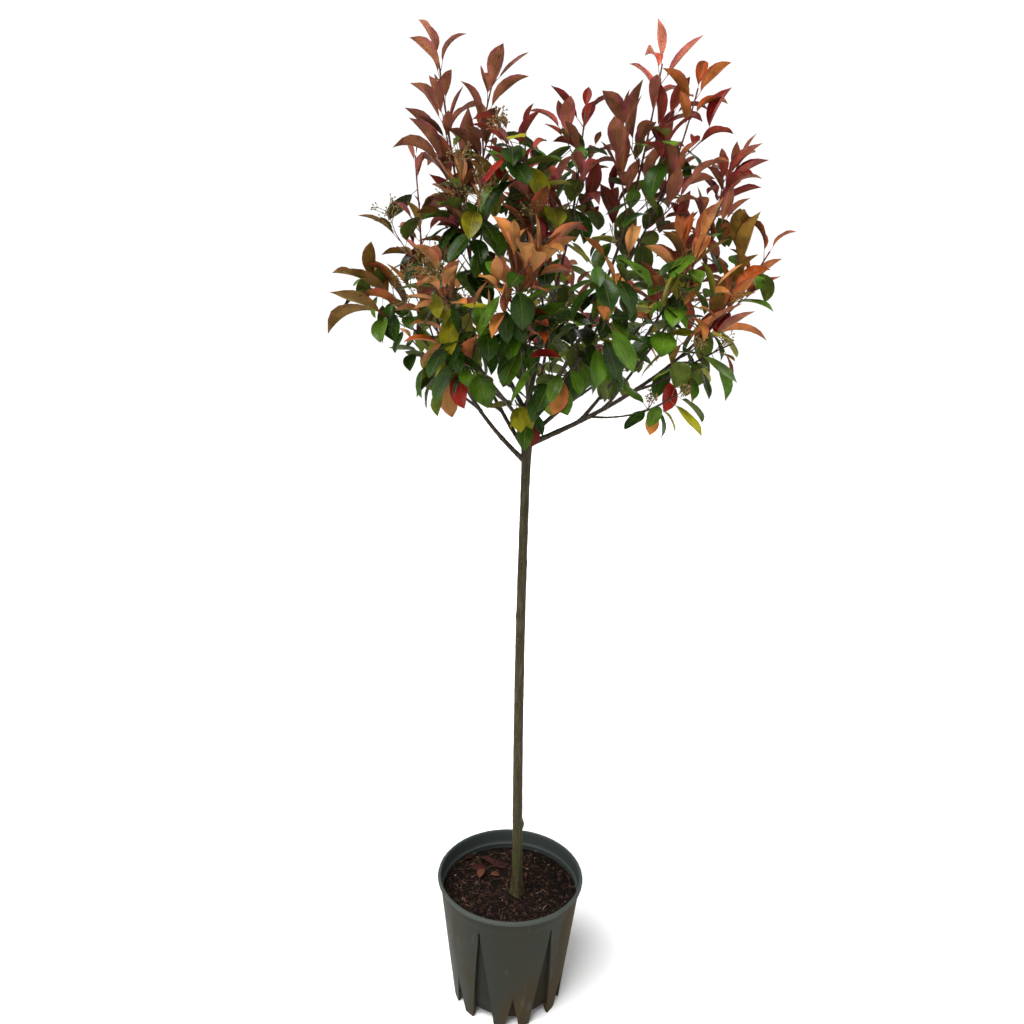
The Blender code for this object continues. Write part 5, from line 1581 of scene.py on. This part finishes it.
for name, colour in FALLEN_COLOURS:
    lying = [fallen_leaf(fallen) for fallen in FALLEN if fallen.name == name]
    pale, dull = (tuple(share * value for value in colour) for share in (FALLEN_PALE, FALLEN_DULL))
    leaves = made_by(set_leaves, name, leaf_points(name, lying), {
        "Shapes": leaf_shapes, "Size": 1.0,
        "Upper": leaf_finish(name + "_upper", colour, dull, 0.55, 0.2, pale),
        "Underside": leaf_finish(name + "_underside", pale, colour, 0.7, 0.1, colour),
        "Stalk": old_stalk})
    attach(leaves, "root")
for shape in list(leaf_shapes.objects):
    bpy.data.objects.remove(shape)
bpy.data.collections.remove(leaf_shapes)


# ---- flower heads -----------------------------------------------------------
# Some shoots at the front end in a flower head: a short axis, thin stalks that
# fork, and a small round bud on each.  Last year's are dry, olive and brown.

Head = namedtuple("Head", "limb count size")
FLOWER_HEADS = (
    Head("middle_left", 4, 1.6), Head("left", 4, 1.6), Head("front_left", 2, 1.3),
    Head("left_wing", 1, 1.0), Head("middle_front", 2, 1.3), Head("right_twig", 2, 0.8),
    Head("right_low", 2, 0.8), Head("right", 1, 1.0), Head("back", 2, 1.2),
    Head("back_left", 1, 1.2))
FLOWER_AXIS = 0.030
FLOWER_SIDEWAYS = (-0.3, 0.3)
FLOWER_FORWARD = (-0.9, -0.3)
FLOWER_UP = 0.3
FLOWER_BRANCHES = 11
BRANCH_PLACES = (0.35, 0.6)     # the first one's, and the stretch that all take
BRANCH_ANGLE = 50.0
BRANCH_STRAY = 20.0
BRANCH_LENGTH = 0.014
BRANCH_LENGTHS = (0.6, 1.1)
FORK_SHARE = 0.45           # of the branch, in each of its three forks
FORK_ANGLE = 38.0
FORK_STRAY = 30.0
FORK_THICK = 0.8
FLOWER_FOOT = 1.6           # how much thicker a head's foot is than its branches
FLOWER_STALK_RADIUS = 0.00055
BUD_RADIUS = 0.0015
BUD_TAN = (0.200, 0.130, 0.036)
FLOWER_OLIVE = (0.150, 0.105, 0.028)
FLOWER_TAN = (0.240, 0.170, 0.060)
FLOWER_DARK = (0.060, 0.038, 0.014)


def flower_head(points, size, rng):
    """Stalk lines and bud places of one flower head at the end of a shoot."""
    root, axis = points[-1], unit(points[-1] - points[-2])
    lean = np.array((rng.uniform(*FLOWER_SIDEWAYS), rng.uniform(*FLOWER_FORWARD), FLOWER_UP))
    axis = unit(axis + lean)
    end = root + axis * FLOWER_AXIS * size
    thin = FLOWER_STALK_RADIUS
    stalks, buds = [(np.array((root, end)), (thin * FLOWER_FOOT, thin))], [end]
    for k in range(FLOWER_BRANCHES):
        foot = root + (end - root) * (BRANCH_PLACES[0] + BRANCH_PLACES[1] * k / FLOWER_BRANCHES)
        turn = GOLDEN_ANGLE * k + rng.uniform(-BRANCH_STRAY, BRANCH_STRAY)
        away = lean_from(axis, BRANCH_ANGLE, turn)
        length = BRANCH_LENGTH * size * rng.uniform(*BRANCH_LENGTHS)
        fork = foot + away * length
        stalks.append((np.array((foot, fork)), (thin, thin)))
        for turn in (0.0, 120.0, 240.0):
            turn += rng.uniform(-FORK_STRAY, FORK_STRAY)
            tip = fork + lean_from(away, FORK_ANGLE, turn) * length * FORK_SHARE
            stalks.append((np.array((fork, tip)), (thin, thin * FORK_THICK)))
            buds.append(tip)
    return stalks, buds


def bud_tree():
    """Sets a small ball on every point."""
    tree, given, end = new_tree("Buds", (("Radius", 'Float'), ("Finish", 'Material')))
    ball = add(tree, 'GeometryNodeMeshIcoSphere', links=(
        ("Radius", given["Radius"]), ("Subdivisions", 2)))
    set_on = add(tree, 'GeometryNodeInstanceOnPoints', links=(
        ("Points", given["Geometry"]), ("Instance", ball.outputs["Mesh"])))
    smooth = add(tree, 'GeometryNodeSetShadeSmooth', links=(("Geometry", set_on.outputs[0]),))
    tree.links.new(made_real(tree, smooth.outputs[0], given["Finish"]), end.inputs[0])
    return tree


rng = random.Random("flower heads")
stalks, buds = [], []
for head in FLOWER_HEADS:
    front_shoots = sorted(sprays[head.limb][1:], key=lambda tuft: tuft.points[-1][1])
    for tuft in front_shoots[:head.count]:
        more_stalks, more_buds = flower_head(tuft.points, head.size, rng)
        stalks += more_stalks
        buds += more_buds
head_stalks = made_by(grow_wood, "flower_head_stalks", line_mesh("flower_head_lines", stalks), {
    "Sides": 5, "Relief depth": 0.0, "Relief grain": 260.0,
    "Finish": bark_finish("flower_head_bark", FLOWER_OLIVE, FLOWER_TAN, FLOWER_DARK)})
bud_points = bpy.data.meshes.new("bud_points")
bud_points.from_pydata([tuple(place) for place in buds], [], [])
bud_balls = made_by(bud_tree(), "flower_buds", bud_points, {
    "Radius": BUD_RADIUS, "Finish": bark_finish("bud_skin", BUD_TAN, FLOWER_TAN, FLOWER_DARK)})
for piece in (head_stalks, bud_balls):
    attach(piece, "root")


# ---- floor, light and camera ------------------------------------------------
# A plain pale studio: one seamless floor, a broad soft light from above and the
# left, and a weak one from the right.

FLOOR_SIZE = 60.0
FLOOR_DROP = 0.0005
FLOOR_PALE = (0.93, 0.93, 0.93)
FLOOR_WHITE = (0.95, 0.95, 0.95)


def floor_finish():
    finish, tree, place = new_finish("studio_floor")
    faint = ranged(tree, grain(tree, place, 3.0), 0.3, 0.7)
    coat(tree, mixed(tree, faint, FLOOR_PALE, FLOOR_WHITE), 0.9, 0.1)
    return finish


half = 0.5 * FLOOR_SIZE
corners = [(x * half, y * half, -FLOOR_DROP) for x, y in ((-1, -1), (1, -1), (1, 1), (-1, 1))]
floor = solid_piece("studio_floor", corners, [(0, 1, 2, 3)], floor_finish())


# The big overhead light is a sun with a very wide disc, so its shadows stay soft.
KEY_FROM = (-0.34, -0.36, 0.87)
KEY_WIDTH = 44.0
KEY_STRENGTH = 5.2
FILL_PLACE = (2.4, -2.2, 1.9)
FILL_AIM = (0.0, 0.0, 1.3)
FILL_SIZE = 2.0
FILL_POWER = 6.0
BACKDROP = 1.06             # the white wall behind, as bright as the floor
CEILING = 0.22
WALL_TOP = 0.44             # sine of the height where the wall gives way
CEILING_FROM = 0.66
EYE_PLACE = (-0.020, -1.473, 1.3546)
EYE_DOWN = 10.202           # degrees below level
EYE_ROLL = 1.713
EYE_SENSOR = 36.0
EYE_LENS = 740.0 / 1024.0 * EYE_SENSOR


def place_light(name, kind, strength, from_direction):
    light = bpy.data.objects.new(name, bpy.data.lights.new(name, kind))
    light.data.energy = strength
    light.rotation_euler = from_direction.to_track_quat('Z', 'Y').to_euler()
    bpy.context.scene.collection.objects.link(light)
    return light


key = place_light("key_light", 'SUN', KEY_STRENGTH, Vector(KEY_FROM))
key.data.angle = math.radians(KEY_WIDTH)
fill = place_light("fill_light", 'AREA', FILL_POWER, Vector(FILL_PLACE) - Vector(FILL_AIM))
fill.data.size = FILL_SIZE
fill.location = FILL_PLACE

world = bpy.data.worlds.new("studio")
world.use_nodes = True
walls = world.node_tree
height = axes(walls, add(walls, 'ShaderNodeTexCoord').outputs["Generated"])["Z"]
fill_sockets(walls, walls.nodes["Background"], (
    ("Strength", ranged(walls, height, WALL_TOP, CEILING_FROM, BACKDROP, CEILING)),
    ("Color", (1.0, 1.0, 1.0, 1.0))))
bpy.context.scene.world = world
bpy.context.scene.view_settings.view_transform = 'Standard'

eye = bpy.data.objects.new("eye", bpy.data.cameras.new("eye"))
eye.data.sensor_width = EYE_SENSOR
eye.data.lens = EYE_LENS
bpy.context.scene.collection.objects.link(eye)
eye.matrix_world = (Matrix.Translation(EYE_PLACE)
                    @ Euler((math.radians(90.0 - EYE_DOWN), 0.0, 0.0)).to_matrix().to_4x4()
                    @ Matrix.Rotation(math.radians(EYE_ROLL), 4, 'Z'))
bpy.context.scene.camera = eye
